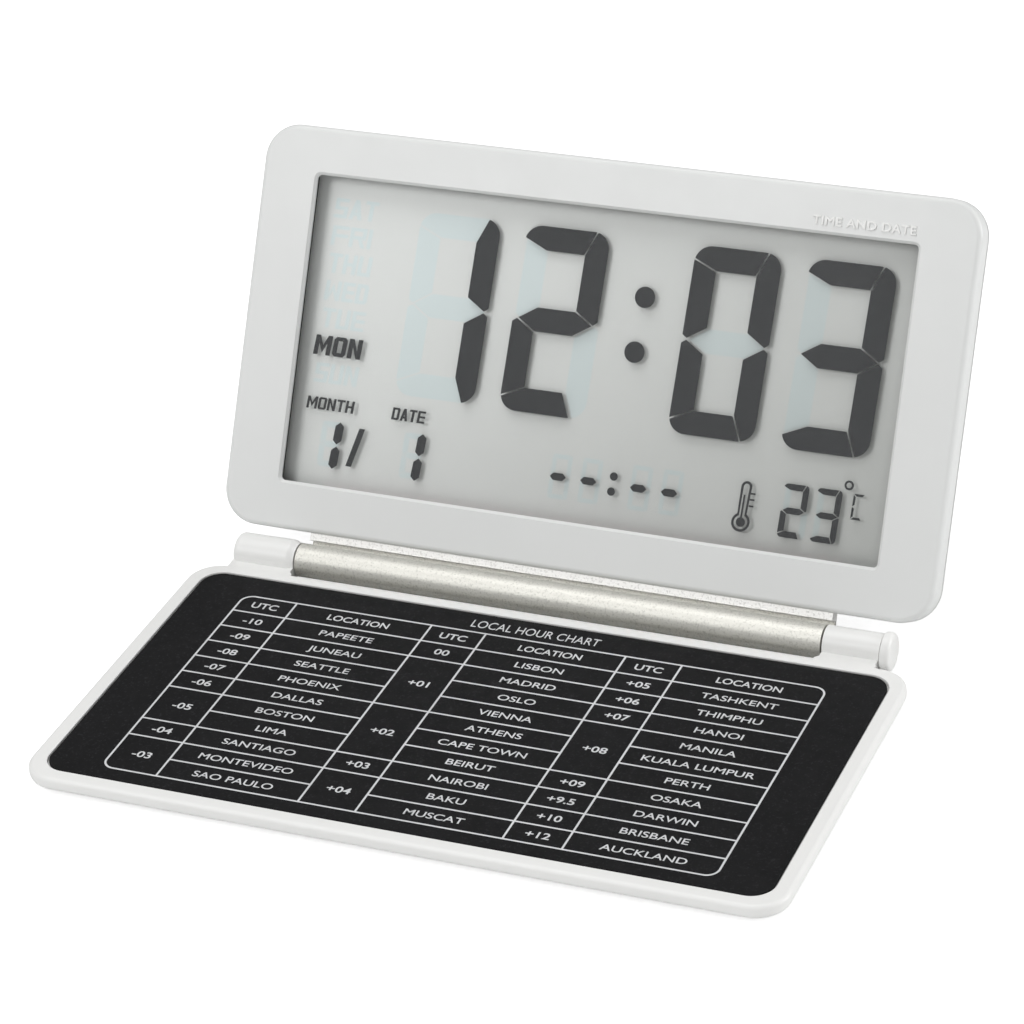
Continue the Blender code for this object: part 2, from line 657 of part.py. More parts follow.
def make_battery_door(head):
    """A round door with a coin slot, held by two lugs that turn behind the cover's wall."""
    turning = empty("battery_door_axis", (CELL_X, 0.0, CELL_Z))
    turning.parent = head
    door = solid("battery_door", disc(DOOR_RADIUS, *DOOR_Y, sides=40), "white_plastic", turning)
    join(door, disc(DOOR_SKIRT[1], DOOR_SKIRT_Y, DOOR_Y[0] + 0.4, sides=32))
    for side in (-1, 1):
        reach = sorted((side * (DOOR_SKIRT[1] - 0.8), side * LUG_REACH))
        join(door, block(reach, LUG_Y, (-LUG_WIDTH / 2, LUG_WIDTH / 2)))
    cut(door, disc(DOOR_SKIRT[0], DOOR_SKIRT_Y - 1, DOOR_Y[0], sides=32))
    length, width, depth = COIN_SLOT
    slot_y = (DOOR_Y[1] - depth, DOOR_Y[1] + 1)
    cut(door, block((-length / 2, length / 2), slot_y, (-width / 2, width / 2)))


# Controls --------------------------------------------------------------------------------------


def make_keys(head):
    """Four push keys held by flanges inside the cover, over a rubber mat with a dome for each."""
    mat_size = (KEY_X[-1] - KEY_X[0] + 9.0, 9.0)
    mat_middle = ((KEY_X[-1] + KEY_X[0]) / 2, KEY_Z)
    mat = solid("key_mat", prism(rounded_rect(*mat_size, 2.0, mat_middle), *MAT_Y), "silicone", head)
    flange_start, flange_end = KEY_FLANGE_Y
    top = PLATEAU_BACK + KEY_PROUD
    profile = (
        (flange_start, KEY_FLANGE),
        (flange_end, KEY_FLANGE),
        (flange_end + 0.02, KEY_RADIUS),
        (top - 0.4, KEY_RADIUS),
        (top - 0.1, KEY_RADIUS - 0.15),
        (top, KEY_RADIUS - 0.5),
    )
    for name, x in zip(KEY_NAMES, KEY_X):
        join(mat, disc(DOME_RADIUS, MAT_Y[0] + 0.1, DOME_TOP, (x, KEY_Z), 16))
        key = stack([(y, circle(radius, 24)) for y, radius in profile], "Y")
        solid(name, key, "key_rubber", head, (x, 0.0, KEY_Z))


def make_alarm_switch(head):
    """The slide switch's body on the board, and the knob that comes out through the cover's slot."""
    body_x = (SWITCH_X - 6.5, SWITCH_X + 6.5)
    body = block(body_x, (PART_Y, PART_Y + 0.7), (SWITCH_Z - 2.0, SWITCH_Z + 2.0))
    solid("switch_body", body, "steel", head)
    start = (SWITCH_X - SWITCH_REST, 0.0, SWITCH_Z)
    slider_y = (PART_Y + 1.0, PART_Y + 2.0)
    slider = block((-4.5, 4.5), slider_y, (-2.4, 2.4))
    knob = solid("alarm_switch", slider, "key_rubber", head, start)
    length, width = SWITCH_KNOB
    knob_top = PLATEAU_BACK + 0.5
    knob_y = (slider_y[0] + 0.5, knob_top)
    join(knob, block((-length / 2, length / 2), knob_y, (-width / 2, width / 2)))
    for groove in (-1.2, 0.0, 1.2):
        cut(knob, block((groove - 0.25, groove + 0.25), (knob_top - 0.3, knob_top + 1), (-2.0, 2.0)))


def shade_round_surfaces():
    """Smooth shading everywhere except across real edges."""
    for piece in bpy.data.objects:
        if piece.type == "MESH":
            piece.data.shade_smooth()
            piece.data.set_sharp_from_angle(angle=radians(SHARP_DEG))


def main():
    clear_scene()
    base = empty("base_frame", (0.0, HINGE_Y, 0.0))
    head = empty("head_hinge", (0.0, HINGE_Y, HINGE_Z), -radians(LEAN_DEG))
    bpy.context.view_layer.update()
    make_tray(base)
    make_base_fittings(base)
    make_hinge_pin(base)
    make_barrel(head)
    make_bezel(head)
    make_rear_cover(head)
    make_screws(head)
    make_display(head)
    make_board(head)
    make_battery(head)
    make_battery_door(head)
    make_keys(head)
    make_alarm_switch(head)
    shade_round_surfaces()


main()
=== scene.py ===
"""Looks for the folding travel alarm clock: fine shells, a segmented display, a printed card, materials,
a white studio floor and the camera.

Shapes are drawn in millimetres in one of two frames. The base frame has its Y measured from the hinge
line. The head frame sits on the hinge line with its Z up the face and its Y towards the back.
"""

import json
from math import atan2, cos, pi, radians, sin, sqrt

import bmesh
import bpy
from mathutils import Matrix, Vector


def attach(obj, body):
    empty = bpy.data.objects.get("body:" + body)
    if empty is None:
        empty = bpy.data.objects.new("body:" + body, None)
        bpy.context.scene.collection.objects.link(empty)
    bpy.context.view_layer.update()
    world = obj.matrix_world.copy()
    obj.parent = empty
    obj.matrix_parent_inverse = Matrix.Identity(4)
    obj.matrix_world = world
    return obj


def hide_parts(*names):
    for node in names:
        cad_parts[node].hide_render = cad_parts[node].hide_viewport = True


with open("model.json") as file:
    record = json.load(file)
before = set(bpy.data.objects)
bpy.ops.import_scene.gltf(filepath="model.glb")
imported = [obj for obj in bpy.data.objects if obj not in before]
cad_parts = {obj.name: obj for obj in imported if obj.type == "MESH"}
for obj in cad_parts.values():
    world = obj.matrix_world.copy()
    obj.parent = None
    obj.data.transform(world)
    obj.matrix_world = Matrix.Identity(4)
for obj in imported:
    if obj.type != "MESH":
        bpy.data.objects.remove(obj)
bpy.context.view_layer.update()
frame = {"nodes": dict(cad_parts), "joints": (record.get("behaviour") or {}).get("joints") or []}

MM = 0.001
GAP = 0.3
JOINTS = {joint["name"]: joint for joint in frame["joints"]}
HINGE = Vector(JOINTS["head_fold"]["pos_m"])
PRESS = JOINTS["key_mode_press"]["axis"]  # straight out of the display's face
LEAN = atan2(PRESS[2], -PRESS[1])
BASE = Matrix.Translation((0.0, HINGE.y, 0.0))
HEAD = Matrix.Translation(HINGE) @ Matrix.Rotation(-LEAN, 4, "X")
HINGE_Z = HINGE.z / MM

CORNER_STEPS = 16
ROUND_STEPS = 8
SHARP_DEG = 32.0

# Base
WIDTH = 120.0
TRAY_FRONT = -67.4
TRAY_BACK = -4.44
TRAY_BOTTOM = 0.9
TRAY_TOP = 3.42
TRAY_CORNER = 5.2
TRAY_LOWER_ROUND = 1.2
TRAY_UPPER_ROUND = 0.7
TRAY_FLOOR_TOP = 1.5
CARD_LEDGE = 2.7
RECESS_ROUND = 0.14
CARD_SIZE = (114.4, 57.7)
CARD_BACK = -6.94
CARD_CORNER = 3.4
CARD_Z = (2.9, 3.3)
BALLAST_SIZE = (111.0, 54.4)
BALLAST_CORNER = 2.2
FOOT_X = 48.4
FOOT_Y = {"rear": -6.2, "front": -61.0}

# Hinge
BARREL_RADIUS = 2.72
BARREL_HALF = 44.2
BARREL_BORE = 1.8
KNUCKLE_START = 44.5
LEFT_RADIUS = 3.09
LEFT_END = 55.2
RIGHT_END = 53.55
CAP_START = 53.65
CAP_END = 55.2
CAP_RADIUS = 3.09
PIN_BORE = 1.3
PIN_LEFT = -53.8
PIN_RIGHT = 54.4
NECK_FRONT = 2.3
NECK_BACK = 4.7
NECK_TOP = 8.6
CREVICE_FRONT = 2.45  # a narrow crevice divides the tube from its neck
CREVICE_BACK = 3.7
HEEL_DEG = 35.0

# Head
HEAD_BOTTOM = 4.36
HEAD_HEIGHT = 65.0
HEAD_CORNER = 5.8
HEAD_MIDDLE = (0.0, HEAD_BOTTOM + HEAD_HEIGHT / 2)
FACE_Y = 1.37
BEZEL_BACK = 4.9
BEZEL_ROUND = 0.9
BEZEL_WALL = 1.5
COVER_FRONT = 5.2
COVER_BACK = 6.7
COVER_ROUND = 1.1
WINDOW = (100.6, 49.5)
WINDOW_BOTTOM = 12.2
WINDOW_MIDDLE = (0.0, WINDOW_BOTTOM + WINDOW[1] / 2)
WINDOW_CORNER = 0.7
WINDOW_LIP = 0.78
WINDOW_BEVEL = 0.42
GASKET_WALL = 2.3
PLATEAU = (108.0, 58.6)
PLATEAU_BACK = 10.4
PLATEAU_DRAFT = 2.5
PLATEAU_CORNER = 6.0
WALL_INSIDE = 9.1
CAVITY_INSET = 1.5
SCREWS = [(side * 56.2, z) for z in (8.3, 65.4) for side in (-1, 1)]
SCREW_SEAT = 5.9
KEY_X = {"key_mode": -43.0, "key_set": -31.0, "key_up": -19.0, "key_down": -7.0}
KEY_Z = 51.0
SWITCH = (30.0, 54.5)
SWITCH_REST = 1.5
CELL = (30.0, 33.0)
DOOR_HOLE = 13.3
LUG_REACH = 14.3
LUG_WIDTH = 5.0
DOOR_OPEN_DEG = 60.0
BUZZER = (-25.0, 26.0)

# Display, measured up and across the face
INK_Y = (4.2, 4.23)
GHOST_Y = (5.185, 5.2)
DIGIT_X = (-26.3, -7.75, 20.75, 39.3)
DIGIT_Z = 43.06
DIGIT_SLANT = 0.035
COLON = ((6.75, 48.65), (6.15, 39.95))
COLON_RADIUS = 1.68
TEMPERATURE_X = (35.2, 40.55)
TEMPERATURE_Z = 18.82
DEGREE = (43.55, 24.0)
ALARM_X = (-3.95, 1.2, 9.6, 14.75)
ALARM_Z = 18.9
ALARM_COLON = ((5.35, 20.2), (5.2, 17.8))
ALARM_COLON_RADIUS = 0.66
DATE_ONE_X = (-42.45, -27.95)
DATE_GHOST_X = (-43.9, -29.4)
DAY_Z = 32.95
DAY_ROW = 4.45  # the weekdays stand in a column, one lit
LABEL_Z = 24.2
DAY_HEIGHT = 3.2
LABEL_HEIGHT = 1.98
POLARIZER_Y = (3.2, 3.4)
FRONT_PANE_Y = (3.6, 4.15)
REAR_PANE_Y = (4.35, 4.9)
REFLECTOR_Y = (5.2, 5.4)
PANE_WIDTH = 104.0
PANE_TOP = 63.6
FRONT_PANE_BOTTOM = 9.0
REAR_PANE_BOTTOM = 11.6
WORD_SLANT = 0.09
SEGMENT_GAP = 0.24


# Mesh helpers ----------------------------------------------------------------------------------


def rounded_rect(width, height, radius, centre=(0.0, 0.0)):
    """Corner points of a rectangle with round corners, anticlockwise."""
    points = []
    for turn, (sx, sy) in enumerate(((1, 1), (-1, 1), (-1, -1), (1, -1))):
        cx = centre[0] + sx * (width / 2 - radius)
        cy = centre[1] + sy * (height / 2 - radius)
        for step in range(CORNER_STEPS + 1):
            angle = pi / 2 * (turn + step / CORNER_STEPS)
            points.append((cx + radius * cos(angle), cy + radius * sin(angle)))
    return points


def circle(radius, sides=96, centre=(0.0, 0.0)):
    angles = [2 * pi * (side + 0.5) / sides for side in range(sides)]
    return [(centre[0] + radius * cos(angle), centre[1] + radius * sin(angle)) for angle in angles]


def stack(levels, along="Y", ring=False):
    """A closed solid through outlines of equal point count. A ring joins its last outline to its first."""
    shape = bmesh.new()
    rings = []
    for height, outline in levels:
        if along == "Z":
            rings.append([shape.verts.new((a, b, height)) for a, b in outline])
        elif along == "Y":
            rings.append([shape.verts.new((a, height, b)) for a, b in outline])
        else:
            rings.append([shape.verts.new((height, a, b)) for a, b in outline])
    pairs = list(zip(rings, rings[1:]))
    if ring:
        pairs.append((rings[-1], rings[0]))
    for low, high in pairs:
        for this in range(len(low)):
            after = (this + 1) % len(low)
            shape.faces.new((low[this], low[after], high[after], high[this]))
    if not ring:
        shape.faces.new(rings[0])
        shape.faces.new(rings[-1])
    return shape


def prism(outline, start, end, along="Y"):
    return stack([(start, outline), (end, outline)], along)


def disc(radius, start, end, centre=(0.0, 0.0), sides=64, along="Y"):
    return prism(circle(radius, sides, centre), start, end, along)


def block(x, y, z):
    return prism([(x[0], y[0]), (x[1], y[0]), (x[1], y[1]), (x[0], y[1])], z[0], z[1], "Z")


def round_edge(start, end, round_start, round_end):
    """Heights and insets down the side of a slab whose two rims are rounded."""
    turns = [pi / 2 * step / ROUND_STEPS for step in range(ROUND_STEPS + 1)]
    pairs = [(start + round_start * (1 - cos(turn)), round_start * (1 - sin(turn))) for turn in turns]
    pairs += [(end - round_end * (1 - cos(turn)), round_end * (1 - sin(turn))) for turn in reversed(turns)]
    return [pair for spot, pair in enumerate(pairs) if pair not in pairs[:spot]]


def slab(size, radius, start, end, rounds=(0.0, 0.0), centre=(0.0, 0.0), along="Y"):
    """A plate with round corners and, where asked, rounded rims."""
    levels = []
    for height, inset in round_edge(start, end, *rounds):
        outline = rounded_rect(size[0] - 2 * inset, size[1] - 2 * inset, radius - inset, centre)
        levels.append((height, outline))
    return stack(levels, along)


def turned(profile, sides=96, along="X"):
    """A round solid through pairs of (place along the axis, radius)."""
    return stack([(place, circle(radius, sides)) for place, radius in profile], along)


def arc(centre, radius, start, end, steps=ROUND_STEPS):
    """Points on an arc, with the angles in degrees."""
    turns = [radians(start + (end - start) * step / steps) for step in range(steps + 1)]
    return [(centre[0] + radius * cos(turn), centre[1] + radius * sin(turn)) for turn in turns]


def move(shape, offset):
    bmesh.ops.translate(shape, vec=offset, verts=shape.verts)
    return shape


def gather(shapes):
    """Several closed solids as one bmesh."""
    whole = bmesh.new()
    for shape in shapes:
        mesh = bpy.data.meshes.new("part")
        shape.to_mesh(mesh)
        shape.free()
        whole.from_mesh(mesh)
        bpy.data.meshes.remove(mesh)
    return whole


def raw(name, shape, place):
    """An object from a bmesh in millimetres, drawn in the frame given by a matrix."""
    mesh = bpy.data.meshes.new(name)
    bmesh.ops.scale(shape, vec=(MM, MM, MM), verts=shape.verts)
    bmesh.ops.recalc_face_normals(shape, faces=shape.faces)
    shape.to_mesh(mesh)
    shape.free()
    made = bpy.data.objects.new(name, mesh)
    bpy.context.scene.collection.objects.link(made)
    made.matrix_world = place
    return made


def boolean(target, shape, operation):
    tool = raw("tool", shape, target.matrix_world.copy())
    bpy.context.view_layer.update()
    modifier = target.modifiers.new("shape", "BOOLEAN")
    modifier.operation = operation
    modifier.solver = "EXACT"
    modifier.object = tool
    mesh = bpy.data.meshes.new_from_object(target.evaluated_get(bpy.context.evaluated_depsgraph_get()))
    target.modifiers.clear()
    old = target.data
    target.data = mesh
    bpy.data.meshes.remove(old)
    bpy.data.objects.remove(tool, do_unlink=True)


def cut(target, shape):
    boolean(target, shape, "DIFFERENCE")


def join(target, shape):
    boolean(target, shape, "UNION")


def dress(made, material, body, nodes=(), flat=False):
    """Shades a piece, gives it its material and lets it ride on its body."""
    bpy.context.view_layer.update()
    made.data.transform(made.matrix_world)
    made.matrix_world = Matrix.Identity(4)
    made.data.materials.clear()
    made.data.materials.append(material)
    if not flat:
        made.data.shade_smooth()
        made.data.set_sharp_from_angle(angle=radians(SHARP_DEG))
        weighted = made.modifiers.new("weighted", "WEIGHTED_NORMAL")
        weighted.keep_sharp = True
        weighted.weight = 60
    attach(made, body)
    if nodes:
        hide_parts(*nodes)
    return made


# Materials -------------------------------------------------------------------------------------


def surface(
    name, base, rough, grain, bump, metal=0.0, tone=0.05, patch=90.0, fleck=None, painted_light_ramp=None, **sockets
):
    """A material whose colour, gloss and relief all vary with noise at real scale.

    grain is the relief's noise scale per metre and bump its height in metres. tone is how far the colour
    drifts over patches, patch their scale. fleck is (scale, share, colour) for fine specks.
    painted_light_ramp is (direction, start, end, tint), painted light and shade: the colour is multiplied by
    the tint at the end of the span, a tint above 1 painting light and one below 1 painting shade.
    """
    material = bpy.data.materials.new(name)
    material.use_nodes = True
    tree = material.node_tree
    shader = tree.nodes["Principled BSDF"]
    shader.inputs["Metallic"].default_value = metal
    for socket, value in sockets.items():
        shader.inputs[socket.replace("_", " ")].default_value = value
    coords = tree.nodes.new("ShaderNodeTexCoord").outputs["Object"]

    def noise(scale, detail=3.0):
        node = tree.nodes.new("ShaderNodeTexNoise")
        node.inputs["Scale"].default_value = scale
        node.inputs["Detail"].default_value = detail
        node.inputs["Roughness"].default_value = 0.55
        tree.links.new(coords, node.inputs["Vector"])
        return node.outputs["Fac"]

    def spread(source, low, high, start=0.3, end=0.7):
        node = tree.nodes.new("ShaderNodeMapRange")
        node.inputs["From Min"].default_value = start
        node.inputs["From Max"].default_value = end
        node.inputs["To Min"].default_value = low
        node.inputs["To Max"].default_value = high
        tree.links.new(source, node.inputs["Value"])
        return node.outputs["Result"]

    def mix(factor, first, second):
        node = tree.nodes.new("ShaderNodeMix")
        node.data_type = "RGBA"
        tree.links.new(factor, node.inputs["Factor"])
        for value, socket in ((first, node.inputs["A"]), (second, node.inputs["B"])):
            if isinstance(value, tuple):
                socket.default_value = (*value, 1.0)
            else:
                tree.links.new(value, socket)
        return node.outputs["Result"]

    darker = tuple(channel * (1 - tone) for channel in base)
    lighter = tuple(min(1.0, channel * (1 + tone)) for channel in base)
    patches = spread(noise(patch), 0.0, 1.0)
    colour = mix(patches, darker, lighter)
    if fleck:
        scale, share, shade = fleck
        colour = mix(spread(noise(scale, 1.0), 0.0, 1.0, 0.62 - share / 2, 0.72), colour, shade)
    # Painted light and shade: the colour is multiplied by a tint that ramps in along a direction.
    if painted_light_ramp:
        direction, start, end, tint = painted_light_ramp
        along = tree.nodes.new("ShaderNodeVectorMath")
        along.operation = "DOT_PRODUCT"
        along.inputs[1].default_value = direction
        tree.links.new(coords, along.inputs[0])
        tinted = tree.nodes.new("ShaderNodeMix")
        tinted.data_type = "RGBA"
        tinted.blend_type = "MULTIPLY"
        tree.links.new(spread(along.outputs["Value"], 0.0, 1.0, start, end), tinted.inputs["Factor"])
        tree.links.new(colour, tinted.inputs["A"])
        tinted.inputs["B"].default_value = (*tint, 1.0)
        colour = tinted.outputs["Result"]
    tree.links.new(colour, shader.inputs["Base Color"])
    tree.links.new(spread(noise(patch * 7), rough * 0.88, rough * 1.12), shader.inputs["Roughness"])
    if bump:
        relief = tree.nodes.new("ShaderNodeBump")
        relief.inputs["Strength"].default_value = 1.0
        relief.inputs["Distance"].default_value = bump
        tree.links.new(noise(grain, 2.0), relief.inputs["Height"])
        tree.links.new(relief.outputs["Normal"], shader.inputs["Normal"])
    return material


def clear(name, colour, alpha, rough):
    """A clear sheet. Its alpha is a plain value, so light passes straight through."""
    material = bpy.data.materials.new(name)
    material.use_nodes = True
    shader = material.node_tree.nodes["Principled BSDF"]
    shader.inputs["Base Color"].default_value = (*colour, 1.0)
    shader.inputs["Roughness"].default_value = rough
    shader.inputs["Alpha"].default_value = alpha
    return material


UP_FACE = HEAD.to_3x3() @ Vector((0.0, 0.0, 1.0))
HINGE_UP = UP_FACE.dot(HINGE)
# Lit and shaded copies of one white plastic. The lighter copy is painted light on the tray, the end cap and
# the raised words. The darker copy is painted shade on the head's shells and the battery door.
WHITE = surface("white_moulding", (0.775, 0.785, 0.775), 0.36, 5200, 6e-6, tone=0.012, patch=45)
WHITE_PAINTED_LIGHTER = surface("white_moulding_painted_lighter", (0.86, 0.86, 0.845), 0.34, 5200, 6e-6, tone=0.012, patch=45)
# The aluminium's ramp is a painted highlight. From 2.8 mm above the hinge line up the face, the colour is
# brightened over the neck and the tube's top, in place of the light the neck reflects.
BARREL = surface(
    "blasted_aluminium", (0.67, 0.662, 0.618), 0.52, 3600, 3.4e-5, metal=1.0, tone=0.02, patch=900,
    fleck=(3000, 0.18, (0.53, 0.522, 0.485)),
    painted_light_ramp=(UP_FACE, HINGE_UP + 0.0028, HINGE_UP + 0.0031, (1.42, 1.43, 1.50)),
)
STEEL = surface("bright_steel", (0.62, 0.62, 0.63), 0.28, 2600, 3e-6, metal=1.0, tone=0.06, patch=300)
GALVANISED = surface("galvanised_sheet", (0.55, 0.56, 0.57), 0.42, 900, 4e-6, metal=1.0, tone=0.2, patch=220)
CARD = surface(
    "card_black", (0.0105, 0.0105, 0.0112), 0.58, 3600, 5e-6, tone=0.10, patch=70,
    fleck=(2600, 0.06, (0.022, 0.022, 0.024)), Specular_IOR_Level=0.09,
)
PRINT = surface("silver_ink", (0.66, 0.67, 0.68), 0.42, 4000, 3e-6, tone=0.08, patch=120)
RUBBER = surface("foot_rubber", (0.025, 0.025, 0.026), 0.8, 2200, 2e-5, tone=0.2, patch=200)
FOAM = surface("gasket_foam", (0.008, 0.008, 0.008), 0.95, 2500, 4e-5, tone=0.2, patch=300)
FILM = clear("polarizer_film", (0.80, 0.82, 0.78), 0.014, 0.35)
GLASS = clear("display_glass", (0.72, 0.80, 0.77), 0.012, 0.05)
ACROSS = Vector((1.0, 0.0, 0.0)) - UP_FACE  # from the display's top left towards its bottom right
# Painted shade: the reflector and the idle segments darken from the display's top left towards its bottom
# right, down to 0.54, in place of the light's falloff across the display.
PAINTED_FALLOFF = (
    ACROSS,
    ACROSS.dot(HEAD @ (Vector((-50.3, 5.2, 61.7)) * MM)),
    ACROSS.dot(HEAD @ (Vector((50.3, 5.2, 12.2)) * MM)),
    (0.54, 0.54, 0.53),
)
REFLECTOR = surface(
    "reflector_foil", (0.88, 0.895, 0.88), 0.6, 5200, 1.2e-5, metal=0.25, tone=0.006, patch=900,
    fleck=(6500, 0.10, (0.80, 0.815, 0.80)), painted_light_ramp=PAINTED_FALLOFF,
)
INK = surface(
    "segment_ink", (0.022, 0.022, 0.026), 0.55, 3000, 2e-6, tone=0.05, patch=200, Specular_IOR_Level=0.25
)
GHOST = surface(
    "idle_segment", (0.80, 0.885, 0.89), 0.6, 5200, 1.2e-5, metal=0.25, tone=0.008, patch=900, painted_light_ramp=PAINTED_FALLOFF
)
BOARD = surface("circuit_laminate", (0.02, 0.14, 0.06), 0.4, 1800, 8e-6, tone=0.25, patch=350)
EPOXY = surface("glob_epoxy", (0.012, 0.012, 0.013), 0.25, 700, 1e-5, tone=0.2, patch=250)
BRASS = surface("buzzer_brass", (0.75, 0.56, 0.25), 0.33, 1500, 4e-6, metal=1.0, tone=0.12, patch=260)
CERAMIC = surface("ceramic_body", (0.55, 0.42, 0.28), 0.55, 3000, 6e-6, tone=0.12, patch=500)
KEY_RUBBER = surface("key_moulding", (0.42, 0.43, 0.44), 0.5, 4200, 1.2e-5, tone=0.05, patch=160)
SILICONE = surface("silicone_sheet", (0.60, 0.60, 0.58), 0.65, 2200, 1e-5, tone=0.06, patch=160)
ZEBRA = surface("zebra_strip", (0.85, 0.45, 0.55), 0.6, 2600, 1e-5, tone=0.12, patch=1200)
BUSH = surface("bush_acetal", (0.72, 0.72, 0.70), 0.45, 2600, 6e-6, tone=0.04, patch=200)

CAD_LOOKS = {
    "ballast_plate": GALVANISED,
    "hinge_pin": STEEL,
    "quartz_crystal": STEEL,
    "coin_cell": STEEL,
    "battery_contact_negative": STEEL,
    "battery_contact_positive": STEEL,
    "switch_body": STEEL,
    "lcd_gasket": FOAM,
    "circuit_board": BOARD,
    "chip_glob": EPOXY,
    "buzzer_disc": BRASS,
    "thermistor": CERAMIC,
    "capacitor_1": CERAMIC,
    "capacitor_2": CERAMIC,
    "key_mat": SILICONE,
    "hinge_bush_left": BUSH,
    "hinge_bush_right": BUSH,
    "zebra_connector": ZEBRA,
}


def paint_cad_nodes():
    for name, material in CAD_LOOKS.items():
        node = frame["nodes"][name]
        for spot in node.material_slots:
            spot.material = material


# Base ------------------------------------------------------------------------------------------


def card_outline(size, corner, grow=0.0):
    middle = (0.0, CARD_BACK - CARD_SIZE[1] / 2)
    return rounded_rect(size[0] + 2 * grow, size[1] + 2 * grow, corner + grow, middle)


def make_tray():
    middle = (0.0, (TRAY_FRONT + TRAY_BACK) / 2)
    depth = TRAY_BACK - TRAY_FRONT
    levels = []
    for height, inset in round_edge(TRAY_BOTTOM, TRAY_TOP, TRAY_LOWER_ROUND, TRAY_UPPER_ROUND):
        size = (WIDTH - 2 * inset, depth - 2 * inset)
        levels.append((height, rounded_rect(*size, TRAY_CORNER - inset, middle)))
    for turn in (0.0, 22.5, 45.0, 67.5, 90.0):
        sink = RECESS_ROUND * (1 - cos(radians(turn)))
        grow = GAP + RECESS_ROUND * (1 - sin(radians(turn)))
        levels.append((TRAY_TOP - sink, card_outline(CARD_SIZE, CARD_CORNER, grow)))
    levels.append((CARD_LEDGE, card_outline(CARD_SIZE, CARD_CORNER, GAP)))
    for height in (CARD_LEDGE, TRAY_FLOOR_TOP):
        levels.append((height, card_outline(BALLAST_SIZE, BALLAST_CORNER, GAP)))
    tray = raw("tray_shell", stack(levels, "Z"), BASE)
    for side, outer in ((-1, LEFT_END), (1, RIGHT_END)):
        join(tray, web(side, outer))
        join(tray, move(knuckle(side), (0, 0, HINGE_Z)))
        inner_end = PIN_LEFT - GAP if side < 0 else RIGHT_END + 1
        ends = sorted((side * (KNUCKLE_START - 1), inner_end))
        cut(tray, move(turned([(x, PIN_BORE) for x in ends]), (0, 0, HINGE_Z)))
    dress(tray, WHITE_PAINTED_LIGHTER, "base", ["base_tray"])


def web(side, outer):
    """The flat shelf that carries a knuckle, with its inner corner cut back."""
    inner = KNUCKLE_START
    outer -= 0.1
    root = TRAY_BACK - 2.0
    under = -1.0
    chamfer = 0.6
    outline = [
        (side * (inner - chamfer), root),
        (side * (inner - chamfer), TRAY_BACK),
        (side * inner, TRAY_BACK + chamfer),
        (side * inner, under),
        (side * outer, under),
        (side * outer, root),
    ]
    return prism(outline, TRAY_BOTTOM + 0.15, TRAY_TOP - 0.02, "Z")


def knuckle(side):
    if side > 0:
        return turned([(KNUCKLE_START, BARREL_RADIUS), (RIGHT_END, BARREL_RADIUS)])
    round_end = arc((-LEFT_END + 0.9, LEFT_RADIUS - 0.9), 0.9, 180, 90)
    step = LEFT_RADIUS - BARREL_RADIUS
    ease = []
    for part in range(7):
        turn = pi * part / 6
        ease.append((-KNUCKLE_START - 1.4 + 1.4 * part / 6, LEFT_RADIUS - step * (1 - cos(turn)) / 2))
    return turned(round_end + ease)


def make_base_fittings():
    levels = []
    for height, inset in round_edge(CARD_Z[0], CARD_Z[1], 0.03, 0.06):
        levels.append((height, card_outline(CARD_SIZE, CARD_CORNER, -inset)))
    card = raw("card_panel", stack(levels, "Z"), BASE)
    dress(card, CARD, "base", ["time_zone_card"])
    for side, side_name in ((-1, "left"), (1, "right")):
        for end_name, y in FOOT_Y.items():
            shape = stack(
                [(z, circle(radius, 64, (side * FOOT_X, y))) for z, radius in foot_profile()], "Z"
            )
            foot = raw(f"foot_pad_{end_name}_{side_name}", shape, BASE)
            dress(foot, RUBBER, "base", [f"foot_{end_name}_{side_name}"])
    profile = [
        (CAP_START, CAP_RADIUS - 0.3),
        (CAP_START + 0.05, CAP_RADIUS - 0.1),
        (CAP_START + 0.2, CAP_RADIUS),
    ]
    profile += arc((CAP_END - 0.7, CAP_RADIUS - 0.7), 0.7, 90, 8)
    profile += [(CAP_END, CAP_RADIUS - 1.3)]
    cap = raw("end_cap", turned(profile), BASE)
    cap.data.transform(Matrix.Translation((0, 0, HINGE.z)))
    socket = turned([(CAP_START - 1, PIN_BORE), (PIN_RIGHT + 0.1, PIN_BORE)])
    cut(cap, move(socket, (0, 0, HINGE_Z)))
    dress(cap, WHITE_PAINTED_LIGHTER, "base", ["hinge_end_cap"])


def foot_profile():
    return [(0.0, 2.75), (0.05, 2.9), (0.2, 3.0), (0.5, 3.0), (0.6, 2.95)]


# Card print ------------------------------------------------------------------------------------

PRINT_Z = (3.295, 3.312)
LINE = 0.32
FRAME_X = (-48.5, 48.6)
FRAME_Y = (-61.95, -12.1)
FRAME_CORNER = 1.9
OFFSET_COLUMN = 9.15
ROWS = 11
ROW = (FRAME_Y[1] - FRAME_Y[0]) / ROWS
COLUMN = (FRAME_X[1] - FRAME_X[0]) / 3
TITLE_PLACE = (0.4, -9.75)
TITLE_HEIGHT = 1.95
TITLE_WIDTH = 21.3
PRINT_HEIGHT = 1.45
PLACE_HEIGHT = 1.4
ZONES = (
    (
        ("-10", ["PAPEETE"]), ("-09", ["JUNEAU"]), ("-08", ["SEATTLE"]), ("-07", ["PHOENIX"]),
        ("-06", ["DALLAS"]), ("-05", ["BOSTON", "LIMA"]), ("-04", ["SANTIAGO"]),
        ("-03", ["MONTEVIDEO", "SAO PAULO"]),
    ),
    (
        ("00", ["LISBON"]), ("+01", ["MADRID", "OSLO", "VIENNA"]),
        ("+02", ["ATHENS", "CAPE TOWN", "BEIRUT"]),
        ("+03", ["NAIROBI"]), ("+04", ["BAKU", "MUSCAT"]),
    ),
    (
        ("+05", ["TASHKENT"]), ("+06", ["THIMPHU"]), ("+07", ["HANOI"]),
        ("+08", ["MANILA", "KUALA LUMPUR", "PERTH"]), ("+09", ["OSAKA"]), ("+9.5", ["DARWIN"]),
        ("+10", ["BRISBANE"]), ("+12", ["AUCKLAND"]),
    ),
)


